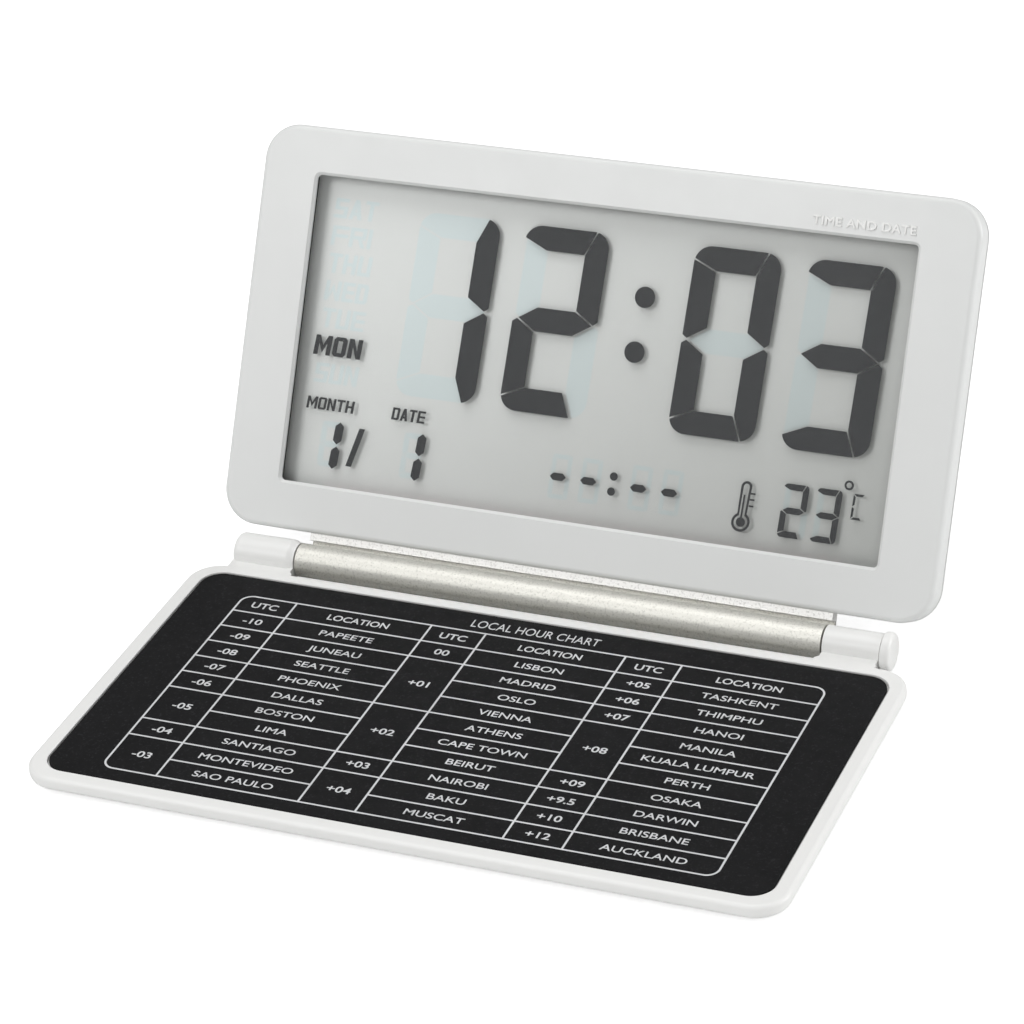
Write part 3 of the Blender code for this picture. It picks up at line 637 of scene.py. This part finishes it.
def lettering(text, height, weight=0.0, spacing=1.0, stretch=1.0, width=None, thick=0.02, bevel=0.0):
    """Letters as a bmesh in millimetres, centred on X, standing on Y = 0 and thick along Z."""
    curve = bpy.data.curves.new("letters", "FONT")
    curve.body = text
    curve.size = height / 0.69
    curve.extrude = thick / 2
    curve.offset = weight
    curve.bevel_depth = bevel
    curve.bevel_resolution = 1
    curve.space_character = spacing
    curve.resolution_u = 6
    holder = bpy.data.objects.new("letters", curve)
    bpy.context.scene.collection.objects.link(holder)
    bpy.context.view_layer.update()
    mesh = bpy.data.meshes.new_from_object(holder.evaluated_get(bpy.context.evaluated_depsgraph_get()))
    shape = bmesh.new()
    shape.from_mesh(mesh)
    bpy.data.objects.remove(holder, do_unlink=True)
    bpy.data.curves.remove(curve)
    bpy.data.meshes.remove(mesh)
    bmesh.ops.remove_doubles(shape, verts=shape.verts, dist=1e-5)
    low = min(vert.co.x for vert in shape.verts)
    high = max(vert.co.x for vert in shape.verts)
    scale = width / (high - low) if width else stretch
    move(shape, (-(low + high) / 2, 0, 0))
    bmesh.ops.scale(shape, vec=(scale, 1, 1), verts=shape.verts)
    return shape


def printed(text, height, centre, **options):
    """Letters lying on the card, centred on a point."""
    shape = lettering(text, height, thick=PRINT_Z[1] - PRINT_Z[0], **options)
    return move(shape, (centre[0], centre[1] - height / 2, sum(PRINT_Z) / 2))


def rule(x, y):
    return block(x, y, PRINT_Z)


def make_card_print():
    middle = (sum(FRAME_X) / 2, sum(FRAME_Y) / 2)
    size = (FRAME_X[1] - FRAME_X[0], FRAME_Y[1] - FRAME_Y[0])
    half = LINE / 2
    edges = []
    for height, grow in ((PRINT_Z[0], half), (PRINT_Z[1], half), (PRINT_Z[1], -half), (PRINT_Z[0], -half)):
        outline = rounded_rect(size[0] + 2 * grow, size[1] + 2 * grow, FRAME_CORNER + grow, middle)
        edges.append((height, outline))
    shapes = [stack(edges, "Z", ring=True)]
    shapes.append(printed("LOCAL HOUR CHART", TITLE_HEIGHT, TITLE_PLACE, width=TITLE_WIDTH))
    inside_y = (FRAME_Y[0] + half, FRAME_Y[1] - half)
    for group, zones in enumerate(ZONES):
        left = FRAME_X[0] + group * COLUMN
        divide = left + OFFSET_COLUMN
        right = left + COLUMN
        shapes.append(rule((divide - half, divide + half), inside_y))
        if group < len(ZONES) - 1:
            shapes.append(rule((right - half, right + half), inside_y))
        offset_x = (left + divide) / 2
        city_x = (divide + right) / 2
        header_y = FRAME_Y[1] - ROW / 2
        shapes.append(printed("UTC", 1.5, (offset_x, header_y), weight=0.035, width=4.5))
        shapes.append(printed("LOCATION", PRINT_HEIGHT, (city_x, header_y), weight=0.03, width=10.4))
        row = 1
        for offset, cities in zones:
            top = FRAME_Y[1] - row * ROW
            shapes.append(rule((left + half, divide - half), (top - half, top + half)))
            offset_y = top - ROW * len(cities) / 2
            shapes.append(printed(offset, PRINT_HEIGHT, (offset_x, offset_y), weight=0.03, stretch=1.2))
            for city in cities:
                top = FRAME_Y[1] - row * ROW
                shapes.append(rule((divide + half, right - half), (top - half, top + half)))
                shapes.append(printed(city, PLACE_HEIGHT, (city_x, top - ROW / 2), stretch=1.2, weight=0.014))
                row += 1
    dress(raw("card_print", gather(shapes), BASE), PRINT, "base", flat=True)


# Head shells -----------------------------------------------------------------------------------


def make_barrel():
    """The tube from the neck's front root round to the heel, then up the neck."""
    start = atan2(sqrt(BARREL_RADIUS**2 - CREVICE_FRONT**2), CREVICE_FRONT)
    end = 2 * pi - radians(HEEL_DEG)
    sides = 96
    profile = []
    for side in range(sides + 1):
        angle = start + (end - start) * side / sides
        profile.append((BARREL_RADIUS * cos(angle), BARREL_RADIUS * sin(angle)))
    heel = [(NECK_BACK - 0.8, -0.6), (NECK_BACK - 0.2, 0.3), (NECK_BACK, 1.3)]
    profile += heel + [(NECK_BACK, NECK_TOP), (NECK_FRONT, NECK_TOP), (NECK_FRONT, 3.2)]
    profile += [(NECK_FRONT + 0.1, 3.12), (CREVICE_BACK, 3.1), (CREVICE_BACK, 1.25)]
    barrel = raw("barrel_shell", prism(profile, -BARREL_HALF, BARREL_HALF, "X"), HEAD)
    cut(barrel, turned([(-BARREL_HALF - 1, BARREL_BORE), (BARREL_HALF + 1, BARREL_BORE)]))
    dress(barrel, BARREL, "head", ["hinge_barrel"])


def make_bezel():
    shell = slab((WIDTH, HEAD_HEIGHT), HEAD_CORNER, FACE_Y, BEZEL_BACK, (BEZEL_ROUND, 0.0), HEAD_MIDDLE)
    bezel = raw("bezel_shell", shell, HEAD)
    inside = (WIDTH - 2 * BEZEL_WALL, HEAD_HEIGHT - 2 * BEZEL_WALL)
    hollow = rounded_rect(*inside, HEAD_CORNER - BEZEL_WALL, HEAD_MIDDLE)
    cut(bezel, prism(hollow, FACE_Y + BEZEL_WALL, BEZEL_BACK + 1))
    opening = []
    steps = [(FACE_Y - 0.5, WINDOW_BEVEL + 0.5), (FACE_Y + WINDOW_BEVEL, 0.0), (BEZEL_BACK, 0.0)]
    for y, grow in steps:
        grown = (WINDOW[0] + 2 * grow, WINDOW[1] + 2 * grow)
        opening.append((y, rounded_rect(*grown, WINDOW_CORNER + grow, WINDOW_MIDDLE)))
    cut(bezel, stack(opening))
    wall = 2 * (GASKET_WALL + GAP)
    rebate = rounded_rect(WINDOW[0] + wall, WINDOW[1] + wall, 1.0, WINDOW_MIDDLE)
    cut(bezel, prism(rebate, FACE_Y + WINDOW_LIP, BEZEL_BACK))
    slot_x = (-BARREL_HALF - GAP, BARREL_HALF + GAP)
    cut(bezel, block(slot_x, (NECK_FRONT - GAP, BEZEL_BACK + 1), (0.0, NECK_TOP + GAP)))
    for place in SCREWS:
        join(bezel, disc(1.5, FACE_Y + 1.0, BEZEL_BACK - 0.05, place, 32))
        cut(bezel, disc(0.95, 3.1, BEZEL_BACK + 1, place, 32))
    dress(bezel, WHITE, "head", ["front_bezel"])

    words = lettering("TIME AND DATE", 1.3, spacing=1.06, width=16.6, thick=0.30, bevel=0.05, weight=0.0)
    turn = Matrix.Rotation(radians(90), 3, "X")
    bmesh.ops.rotate(words, cent=(0, 0, 0), matrix=turn, verts=words.verts)
    move(words, (41.45, FACE_Y, 63.1))
    # The raised words take the lighter copy of the white plastic, a painted highlight on the letters.
    dress(raw("bezel_words", words, HEAD), WHITE_PAINTED_LIGHTER, "head", flat=True)


def plateau(inset, start, end, rim=0.0):
    """The raised middle of the cover, whose sides lean in towards the back."""
    spread = (PLATEAU[0] - 2 * inset, PLATEAU[1] - 2 * inset)
    corner = PLATEAU_CORNER - inset
    reach = PLATEAU_BACK - COVER_BACK
    levels = [(start, rounded_rect(*spread, corner, HEAD_MIDDLE))]
    heights = [(COVER_BACK - 0.2, 0.0), (end - rim, 0.0)]
    if rim:
        heights += [(end - rim * (1 - sin(turn)), rim * (1 - cos(turn))) for turn in quarter_turns()]
    for height, pull in heights:
        shrink = 2 * PLATEAU_DRAFT * max(0.0, height - COVER_BACK) / reach + 2 * pull
        outline = rounded_rect(spread[0] - shrink, spread[1] - shrink, corner - pull, HEAD_MIDDLE)
        levels.append((height, outline))
    return stack(levels)


def quarter_turns():
    return [pi / 2 * step / ROUND_STEPS for step in range(1, ROUND_STEPS + 1)]


def make_rear_cover():
    rim = slab((WIDTH, HEAD_HEIGHT), HEAD_CORNER, COVER_FRONT, COVER_BACK, (0.0, COVER_ROUND), HEAD_MIDDLE)
    cover = raw("cover_shell", rim, HEAD)
    join(cover, plateau(0.0, COVER_FRONT + 0.4, PLATEAU_BACK, 0.8))
    cut(cover, plateau(CAVITY_INSET, COVER_FRONT - 1, WALL_INSIDE))
    lip_depth = (BEZEL_BACK - 0.8, COVER_FRONT + 0.3)
    outer = WIDTH / 2 - BEZEL_WALL - GAP
    for side in (-1, 1):
        join(cover, block(sorted((side * outer, side * (outer - 0.9))), lip_depth, (14.0, 60.0)))
    top = HEAD_BOTTOM + HEAD_HEIGHT - BEZEL_WALL - GAP
    join(cover, block((-48.0, 48.0), lip_depth, (top - 0.9, top)))
    for place in SCREWS:
        cut(cover, disc(1.55, SCREW_SEAT, COVER_BACK + 1, place, 48))
        cut(cover, disc(0.95, COVER_FRONT - 1, SCREW_SEAT + 1, place, 32))
    through = (WALL_INSIDE - 0.5, PLATEAU_BACK + 1)
    for x in KEY_X.values():
        cut(cover, flared(2.9, (x, KEY_Z)))
    cut(cover, prism(rounded_rect(10.0, 3.0, 0.8, SWITCH), *through))
    cut(cover, flared(DOOR_HOLE, CELL, 128))
    half_width = LUG_WIDTH / 2 + GAP
    for turn in (DOOR_OPEN_DEG, DOOR_OPEN_DEG + 180):
        notch = block((DOOR_HOLE - 2, LUG_REACH + GAP), through, (-half_width, half_width))
        spin = Matrix.Rotation(radians(turn), 3, "Y")
        bmesh.ops.rotate(notch, cent=(0, 0, 0), matrix=spin, verts=notch.verts)
        cut(cover, move(notch, (CELL[0], 0, CELL[1])))
    holes = [BUZZER]
    holes += [(BUZZER[0] + 4 * cos(pi * k / 3), BUZZER[1] + 4 * sin(pi * k / 3)) for k in range(6)]
    for place in holes:
        cut(cover, flared(0.6, place, 32))
    dress(cover, WHITE, "head", ["rear_cover"])


def flared(radius, place, sides=64):
    """A round hole's cutter with a small soft edge at the outer face."""
    profile = [
        (WALL_INSIDE - 0.5, radius),
        (PLATEAU_BACK - 0.15, radius),
        (PLATEAU_BACK - 0.04, radius + 0.04),
        (PLATEAU_BACK, radius + 0.15),
        (PLATEAU_BACK + 0.5, radius + 0.65),
    ]
    return move(turned(profile, sides, "Y"), (place[0], 0, place[1]))


def make_screws():
    for number, place in enumerate(SCREWS, 1):
        profile = [
            (3.4, 0.7), (6.1, 0.7), (6.1, 1.25), (6.35, 1.25), (6.5, 1.15), (6.58, 0.9), (6.6, 0.5),
        ]
        screw = raw(f"screw_{number}", move(turned(profile, 48, "Y"), (place[0], 0, place[1])), HEAD)
        for half_x, half_z in ((0.85, 0.15), (0.15, 0.85)):
            across = (place[0] - half_x, place[0] + half_x)
            upright = (place[1] - half_z, place[1] + half_z)
            cut(screw, block(across, (6.3, 7.0), upright))
        dress(screw, STEEL, "head", [f"case_screw_{number}"])


# Controls on the back --------------------------------------------------------------------------


def make_controls():
    for name, x in KEY_X.items():
        profile = [(8.0, 3.6), (8.6, 3.6), (8.62, 2.6), (10.6, 2.6)]
        profile += [(y, r) for r, y in arc((2.1, 10.6), 0.5, 10, 90)]
        profile += [(11.1, 1.6), (11.04, 1.2), (11.0, 0.6)]
        key = raw(f"{name}_cap", move(turned(profile, 72, "Y"), (x, 0, KEY_Z)), HEAD)
        dress(key, KEY_RUBBER, f"{name}_body", [name])

    start = SWITCH[0] - SWITCH_REST
    slider = slab((9.0, 4.8), 0.3, 7.8, 8.8, centre=(start, SWITCH[1]))
    knob = raw("alarm_switch_knob", slider, HEAD)
    join(knob, slab((6.4, 2.4), 0.5, 8.3, 10.9, (0.0, 0.25), (start, SWITCH[1])))
    for groove in (-1.8, -0.9, 0.0, 0.9, 1.8):
        across = (start + groove - 0.2, start + groove + 0.2)
        cut(knob, block(across, (10.62, 12.0), (SWITCH[1] - 2, SWITCH[1] + 2)))
    dress(knob, KEY_RUBBER, "alarm_switch_body", ["alarm_switch"])

    rim = [(9.2, 13.0), (10.1, 13.0), (10.2, 12.96), (10.28, 12.85), (10.3, 12.7)]
    door = raw("battery_door_cap", turned(rim, 128, "Y"), HEAD)
    join(door, disc(12.0, 7.9, 9.6, sides=96))
    for side in (-1, 1):
        reach = sorted((side * 11.2, side * LUG_REACH))
        join(door, block(reach, (7.9, 8.7), (-LUG_WIDTH / 2, LUG_WIDTH / 2)))
    cut(door, disc(10.6, 6.9, 9.2, sides=96))
    coin = slab((14.0, 1.8), 0.88, 9.7, 11.3)
    cut(door, coin)
    door.data.transform(Matrix.Translation((CELL[0] * MM, 0, CELL[1] * MM)))
    dress(door, WHITE, "battery_door_body", ["battery_door"])


# Display ---------------------------------------------------------------------------------------


def inset(outline, amount):
    """An anticlockwise outline moved inwards by an equal amount on every side."""
    points = [Vector(point) for point in outline]
    moved = []
    for spot, point in enumerate(points):
        before = (point - points[spot - 1]).normalized()
        after = (points[(spot + 1) % len(points)] - point).normalized()
        normal = Vector((-before.y - after.y, before.x + after.x)).normalized()
        lean = max(0.35, normal.dot(Vector((-before.y, before.x))))
        moved.append(tuple(point + normal * (amount / lean)))
    return moved


def digit_outlines(wide, tall, stroke, corner):
    """The seven segments of a digit about its middle, anticlockwise, with mitred joints."""
    inner_x = wide - stroke
    inner_z = tall - stroke
    centre_x = wide - corner
    centre_z = tall - corner
    tip = wide * 0.88
    waist = stroke / 2
    shapes = {
        "A": arc((-centre_x, centre_z), corner, 90, 168)
        + [(-inner_x, inner_z), (inner_x, inner_z)]
        + arc((centre_x, centre_z), corner, 79, 90, 2),
        "B": arc((centre_x, centre_z), corner, 0, 79)
        + [(inner_x, inner_z), (inner_x, waist), (tip, 0.0), (wide, 0.04 * tall)],
        "F": [(-wide, 0.04 * tall), (-tip, 0.0), (-inner_x, waist), (-inner_x, inner_z)]
        + arc((-centre_x, centre_z), corner, 168, 180, 2),
        "G": [
            (-tip, 0.0), (-inner_x, -waist), (inner_x, -waist),
            (tip, 0.0), (inner_x, waist), (-inner_x, waist),
        ],
    }
    for low, high in (("D", "A"), ("C", "B"), ("E", "F")):
        shapes[low] = [(x, -z) for x, z in reversed(shapes[high])]
    return shapes


LIT = {
    "0": "ABCDEF", "1": "BC", "2": "ABDEG", "3": "ABCDG", "C": "ADEF", "-": "G", " ": "",
}


def digit(character, centre, size, ghost=False):
    """The lit segments of a character, or its unlit ones, as closed plates."""
    wide, tall, stroke, corner, gap = size
    depth = GHOST_Y if ghost else INK_Y
    plates = []
    for name, outline in digit_outlines(wide, tall, stroke, corner).items():
        if (name in LIT[character]) == ghost:
            continue
        leaned = [(centre[0] + x + z * DIGIT_SLANT, centre[1] + z) for x, z in inset(outline, gap / 2)]
        plates.append(prism(leaned, *depth))
    return plates


BIG = (7.25, 14.9, 4.05, 2.9, SEGMENT_GAP)
SMALL = (2.12, 4.25, 1.12, 0.75, 0.14)
TINY = (1.75, 3.6, 0.85, 0.5, 0.12)


def bar(x, low, high, width):
    """A short upright segment, pointed at both ends."""
    half = width / 2
    lean = DIGIT_SLANT * 2.5
    outline = [
        (x, low), (x + half, low + half * 0.85), (x + half, high - half * 0.85),
        (x, high), (x - half, high - half * 0.85), (x - half, low + half * 0.85),
    ]
    middle = (low + high) / 2
    return prism([(px + (pz - middle) * lean, pz) for px, pz in outline], *INK_Y)


def dash(x, z, length, width):
    half = width / 2
    outline = [
        (x - length / 2, z), (x - length / 2 + half, z - half), (x + length / 2 - half, z - half),
        (x + length / 2, z), (x + length / 2 - half, z + half), (x - length / 2 + half, z + half),
    ]
    return prism(outline, *INK_Y)


LETTER_WIDTHS = {"M": 1.25, "W": 1.3, "I": 0.42}
STROKES = {
    "A": "AZY", "D": "lDEbt", "E": "lefg", "F": "lef", "H": "lrm", "I": "l", "M": "lrxy", "N": "lrn",
    "O": "OPQR", "R": "lefpk", "S": "TudMB", "T": "Tc", "U": "lrb", "W": "lrvw",
}


def letter_strokes(letter, wide, tall, stroke):
    """A letter's strokes as outlines that meet edge to edge."""
    thin = stroke * 0.8
    middle = tall / 2
    inner = wide - stroke
    half = wide / 2
    steep = thin * 2.0
    cut_off = stroke * 0.55
    leg = (wide - stroke) / 2 / tall
    peak = (half - stroke) / leg
    bar_low = tall * 0.2
    bar_high = bar_low + thin

    def box(x0, x1, z0, z1):
        return [(x0, z0), (x1, z0), (x1, z1), (x0, z1)]

    def corner(x, z, turn_x, turn_z):
        """A bent stroke round one corner of an O or D."""
        return [
            (x, middle), (x, z - turn_z * cut_off), (x - turn_x * cut_off, z), (half, z),
            (half, z - turn_z * thin), (x - turn_x * stroke, z - turn_z * thin),
            (x - turn_x * stroke, middle),
        ]

    shapes = {
        "l": box(0, stroke, 0, tall),
        "r": box(inner, wide, 0, tall),
        "t": box(stroke, half, tall - thin, tall),
        "b": box(stroke, inner if letter == "U" else half, 0, thin),
        "m": box(stroke, inner, middle - thin / 2, middle + thin / 2),
        "T": box(0, wide, tall - thin, tall),
        "M": box(0, wide, middle - thin / 2, middle + thin / 2),
        "B": box(0, wide, 0, thin),
        "e": box(stroke, wide, tall - thin, tall),
        "f": box(stroke, wide, middle - thin / 2, middle + thin / 2),
        "g": box(stroke, wide, 0, thin),
        "c": box(half - stroke / 2, half + stroke / 2, 0, tall - thin),
        "u": box(0, stroke, middle + thin / 2, tall - thin),
        "d": box(inner, wide, thin, middle - thin / 2),
        "p": box(inner, wide, middle + thin / 2, tall - thin),
        "k": [(inner - stroke, middle - thin / 2), (inner, 0), (wide, 0), (inner, middle - thin / 2)],
        "n": [(stroke, tall), (stroke, tall - steep), (inner, 0), (inner, steep)],
        "x": [(stroke, tall), (stroke, tall - steep), (half, middle - steep), (half, middle)],
        "y": [(half, middle), (half, middle - steep), (inner, tall - steep), (inner, tall)],
        "v": [(stroke, steep), (stroke, 0), (half, middle), (half, middle + steep)],
        "w": [(half, middle + steep), (half, middle), (inner, 0), (inner, steep)],
        "A": [(0, 0), (stroke, 0), (half, peak), (half, tall), (half - stroke / 2, tall)],
        "Z": [(wide, 0), (half + stroke / 2, tall), (half, tall), (half, peak), (inner, 0)],
        "Y": [
            (stroke + leg * bar_low, bar_low), (inner - leg * bar_low, bar_low),
            (inner - leg * bar_high, bar_high), (stroke + leg * bar_high, bar_high),
        ],
        "O": corner(0, 0, -1, -1),
        "P": corner(wide, 0, 1, -1),
        "Q": corner(wide, tall, 1, 1),
        "R": corner(0, tall, -1, 1),
        "D": corner(wide, 0, 1, -1),
        "E": corner(wide, tall, 1, 1),
    }
    return [shapes[key] for key in STROKES[letter]]


def display_word(text, tall, left, bottom, width, stroke, depth=INK_Y):
    """A word of slanted letters on the display."""
    gap = stroke * 0.42
    spans = [LETTER_WIDTHS.get(letter, 1.0) for letter in text]
    unit = (width - gap * (len(text) - 1)) / sum(spans)
    plates = []
    start = left
    for letter, span in zip(text, spans):
        for outline in letter_strokes(letter, unit * span, tall, stroke):
            leaned = [(start + x + z * WORD_SLANT, bottom + z) for x, z in outline]
            plates.append(prism(leaned, *depth))
        start += unit * span + gap
    return plates



def thermometer():
    """An outlined tube with a ringed bulb, a mercury line and three ticks."""
    x, bulb_z, top_z = 26.95, 16.0, 22.45
    line = 0.4
    outer = tube_outline(x, bulb_z, top_z, 0.88, 1.5)
    inner = tube_outline(x, bulb_z, top_z - line, 0.88 - line, 1.5 - line)
    levels = [(INK_Y[0], outer), (INK_Y[1], outer), (INK_Y[1], inner), (INK_Y[0], inner)]
    shapes = [stack(levels, ring=True)]
    shapes.append(disc(0.74, *INK_Y, (x, bulb_z), 40))
    shapes.append(prism([(x - 0.15, 16.7), (x + 0.15, 16.7), (x + 0.27, 20.3), (x - 0.03, 20.3)], *INK_Y))
    for z in (20.6, 19.65, 18.65):
        left = x + 0.98 + (z - 18) * 0.05
        right = left + 0.75
        tick = [(left, z - 0.14), (right, z - 0.14), (right, z + 0.14), (left, z + 0.14)]
        shapes.append(prism(tick, *INK_Y))
    return shapes


def tube_outline(x, bulb_z, top_z, half, bulb):
    """Round the bulb, up one side, over the top and down the other, anticlockwise."""
    neck = atan2(half, bulb) * 180 / pi
    lean = DIGIT_SLANT * 1.6
    around = arc((x, bulb_z), bulb, 90 + neck, 450 - neck, 40)
    over = arc((x, top_z - half), half, 0, 180, 16)
    return [(px + (pz - bulb_z) * lean, pz) for px, pz in around + over]


def ring_plate(centre, outer, inner):
    sides = 40
    levels = [
        (INK_Y[0], circle(outer, sides, centre)), (INK_Y[1], circle(outer, sides, centre)),
        (INK_Y[1], circle(inner, sides, centre)), (INK_Y[0], circle(inner, sides, centre)),
    ]
    return stack(levels, ring=True)


def make_display():
    for name, nodes, outline, depth, material, slot in (
        ("polarizer_sheet", ["lcd_polarizer"], window_outline(0.8, 0.4), POLARIZER_Y, FILM, "display_film"),
        ("front_pane", ["lcd_front_glass"], pane_outline(FRONT_PANE_BOTTOM), FRONT_PANE_Y, GLASS, "glass"),
        ("rear_pane", ["lcd_rear_glass"], pane_outline(REAR_PANE_BOTTOM), REAR_PANE_Y, GLASS, "glass"),
        ("reflector_sheet", ["lcd_reflector"], window_outline(1.9, 1.0), REFLECTOR_Y, REFLECTOR, "reflector"),
    ):
        dress(raw(name, prism(outline, *depth), HEAD), material, "head", nodes, flat=True)

    shapes = []
    for character, x in zip("1203", DIGIT_X):
        shapes += digit(character, (x, DIGIT_Z), BIG)
    shapes += [disc(COLON_RADIUS, *INK_Y, place, 48) for place in COLON]
    for character, x in zip("23", TEMPERATURE_X):
        shapes += digit(character, (x, TEMPERATURE_Z), SMALL)
    shapes += digit("C", (45.35, 20.85), (1.0, 2.05, 0.5, 0.1, 0.14))
    shapes.append(ring_plate(DEGREE, 0.75, 0.42))
    shapes += thermometer()
    shapes += [dash(x, ALARM_Z, 2.75, 1.2) for x in ALARM_X]
    shapes += [disc(ALARM_COLON_RADIUS, *INK_Y, place, 32) for place in ALARM_COLON]
    for x in DATE_ONE_X:
        shapes.append(bar(x + 0.14, 18.95, 22.55, 1.5))
        shapes.append(bar(x - 0.14, 14.95, 18.6, 1.5))
    slash = [(-40.45, 15.7), (-39.45, 15.7), (-37.75, 22.0), (-38.75, 22.0)]
    shapes.append(prism(slash, *INK_Y))
    shapes += display_word("MON", DAY_HEIGHT, -48.5, DAY_Z, 8.3, 0.78)
    shapes += display_word("MONTH", LABEL_HEIGHT, -48.55, LABEL_Z, 8.3, 0.42)
    shapes += display_word("DATE", LABEL_HEIGHT, -33.5, LABEL_Z, 5.75, 0.42)
    dress(raw("lit_segments", gather(shapes), HEAD), INK, "head", flat=True)

    faint = []
    for character, x in zip("1203", DIGIT_X):
        faint += digit(character, (x, DIGIT_Z), BIG, ghost=True)
    for x in DATE_GHOST_X:
        faint += digit("1", (x, 18.8), (2.0, 3.75, 1.1, 0.7, 0.14), ghost=True)
    for character, x in zip("23", TEMPERATURE_X):
        faint += digit(character, (x, TEMPERATURE_Z), SMALL, ghost=True)
    for x in ALARM_X:
        faint += digit("-", (x, ALARM_Z), TINY, ghost=True)
    for row, day in ((-1, "SUN"), (1, "TUE"), (2, "WED"), (3, "THU"), (4, "FRI"), (5, "SAT")):
        faint += display_word(day, DAY_HEIGHT, -48.3, DAY_Z + DAY_ROW * row, 7.6, 0.7, GHOST_Y)
    dress(raw("idle_segments", gather(faint), HEAD), GHOST, "head", flat=True)


def window_outline(grow, corner):
    return rounded_rect(WINDOW[0] + 2 * grow, WINDOW[1] + 2 * grow, corner, WINDOW_MIDDLE)


def pane_outline(bottom):
    return rounded_rect(PANE_WIDTH, PANE_TOP - bottom, 0.3, (0.0, (PANE_TOP + bottom) / 2))


# Studio ----------------------------------------------------------------------------------------


def make_floor():
    shape = bmesh.new()
    corners = ((-3, -3), (3, -3), (3, 3), (-3, 3))
    shape.faces.new([shape.verts.new((x, y, FLOOR_DROP)) for x, y in corners])
    mesh = bpy.data.meshes.new("studio_floor")
    shape.to_mesh(mesh)
    shape.free()
    floor = bpy.data.objects.new("studio_floor", mesh)
    bpy.context.scene.collection.objects.link(floor)
    material = surface("studio_paper", (0.84, 0.84, 0.84), 0.8, 400, 0.0, tone=0.01, patch=4)
    shader = material.node_tree.nodes["Principled BSDF"]
    shader.inputs["Emission Color"].default_value = (1.0, 1.0, 1.0, 1.0)
    seen = material.node_tree.nodes.new("ShaderNodeLightPath").outputs["Is Camera Ray"]
    lift = material.node_tree.nodes.new("ShaderNodeMath")
    lift.operation = "MULTIPLY"
    lift.inputs[1].default_value = FLOOR_LIFT
    material.node_tree.links.new(seen, lift.inputs[0])
    material.node_tree.links.new(lift.outputs[0], shader.inputs["Emission Strength"])
    mesh.materials.append(material)


def softbox(name, place, size, power):
    light = bpy.data.lights.new(name, "AREA")
    light.shape = "RECTANGLE"
    light.size, light.size_y = size
    light.energy = power
    holder = bpy.data.objects.new(name, light)
    bpy.context.scene.collection.objects.link(holder)
    holder.location = place
    direction = Vector(LIGHT_AIM) - Vector(place)
    holder.rotation_mode = "QUATERNION"
    holder.rotation_quaternion = direction.to_track_quat("-Z", "Y")


WORLD_STRENGTH = 0.30
FLOOR_LIFT = 0.6  # extra light from the paper, for the camera only
FLOOR_DROP = -0.00002  # metres, so the floor doesn't share a plane with the feet
LIGHT_AIM = (0.0, 0.0, 0.02)
LIGHTS = {  # place and size in metres, power in watts
    "key_light": ((-0.32, -0.62, 0.62), (0.3, 0.3), 2.1),
    "top_light": ((-0.2, 0.05, 0.9), (0.7, 0.5), 3.6),
    "fill_light": ((0.30, -0.88, 0.22), (0.5, 0.3), 1.05),
    "rim_light": ((0.90, 0.36, 0.26), (0.4, 0.4), 4.6),
}
CAMERA_LENS = 139.25
CAMERA_SENSOR = 36.0
CAMERA_PLACE = (214.107, -468.425, 330.797)
CAMERA_RIGHT = (0.923377, 0.377587, -0.069307)
CAMERA_DOWN = (0.137401, -0.493634, -0.858747)
CAMERA_AHEAD = (-0.358464, 0.783424, -0.507691)


def make_studio():
    scene = bpy.context.scene
    scene.view_settings.view_transform = "Standard"
    scene.cycles.transparent_max_bounces = 32
    world = bpy.data.worlds.new("studio_air")
    scene.world = world
    world.use_nodes = True
    back = world.node_tree.nodes["Background"]
    back.inputs["Color"].default_value = (1.0, 1.0, 1.0, 1.0)
    back.inputs["Strength"].default_value = WORLD_STRENGTH
    for name, (place, size, power) in LIGHTS.items():
        softbox(name, place, size, power)


def make_camera():
    """The photograph's view: from the front right and above, turned slightly about its own axis."""
    camera = bpy.data.cameras.new("camera")
    camera.lens = CAMERA_LENS
    camera.sensor_width = CAMERA_SENSOR
    camera.clip_start = 0.05
    camera.clip_end = 20.0
    holder = bpy.data.objects.new("camera", camera)
    bpy.context.scene.collection.objects.link(holder)
    rows = (Vector(CAMERA_RIGHT), -Vector(CAMERA_DOWN), -Vector(CAMERA_AHEAD))
    axes = Matrix(rows).transposed().to_4x4()
    holder.matrix_world = Matrix.Translation(Vector(CAMERA_PLACE) * MM) @ axes
    bpy.context.scene.camera = holder


paint_cad_nodes()
make_tray()
make_base_fittings()
make_card_print()
make_barrel()
make_bezel()
make_rear_cover()
make_screws()
make_controls()
make_display()
make_floor()
make_studio()
make_camera()
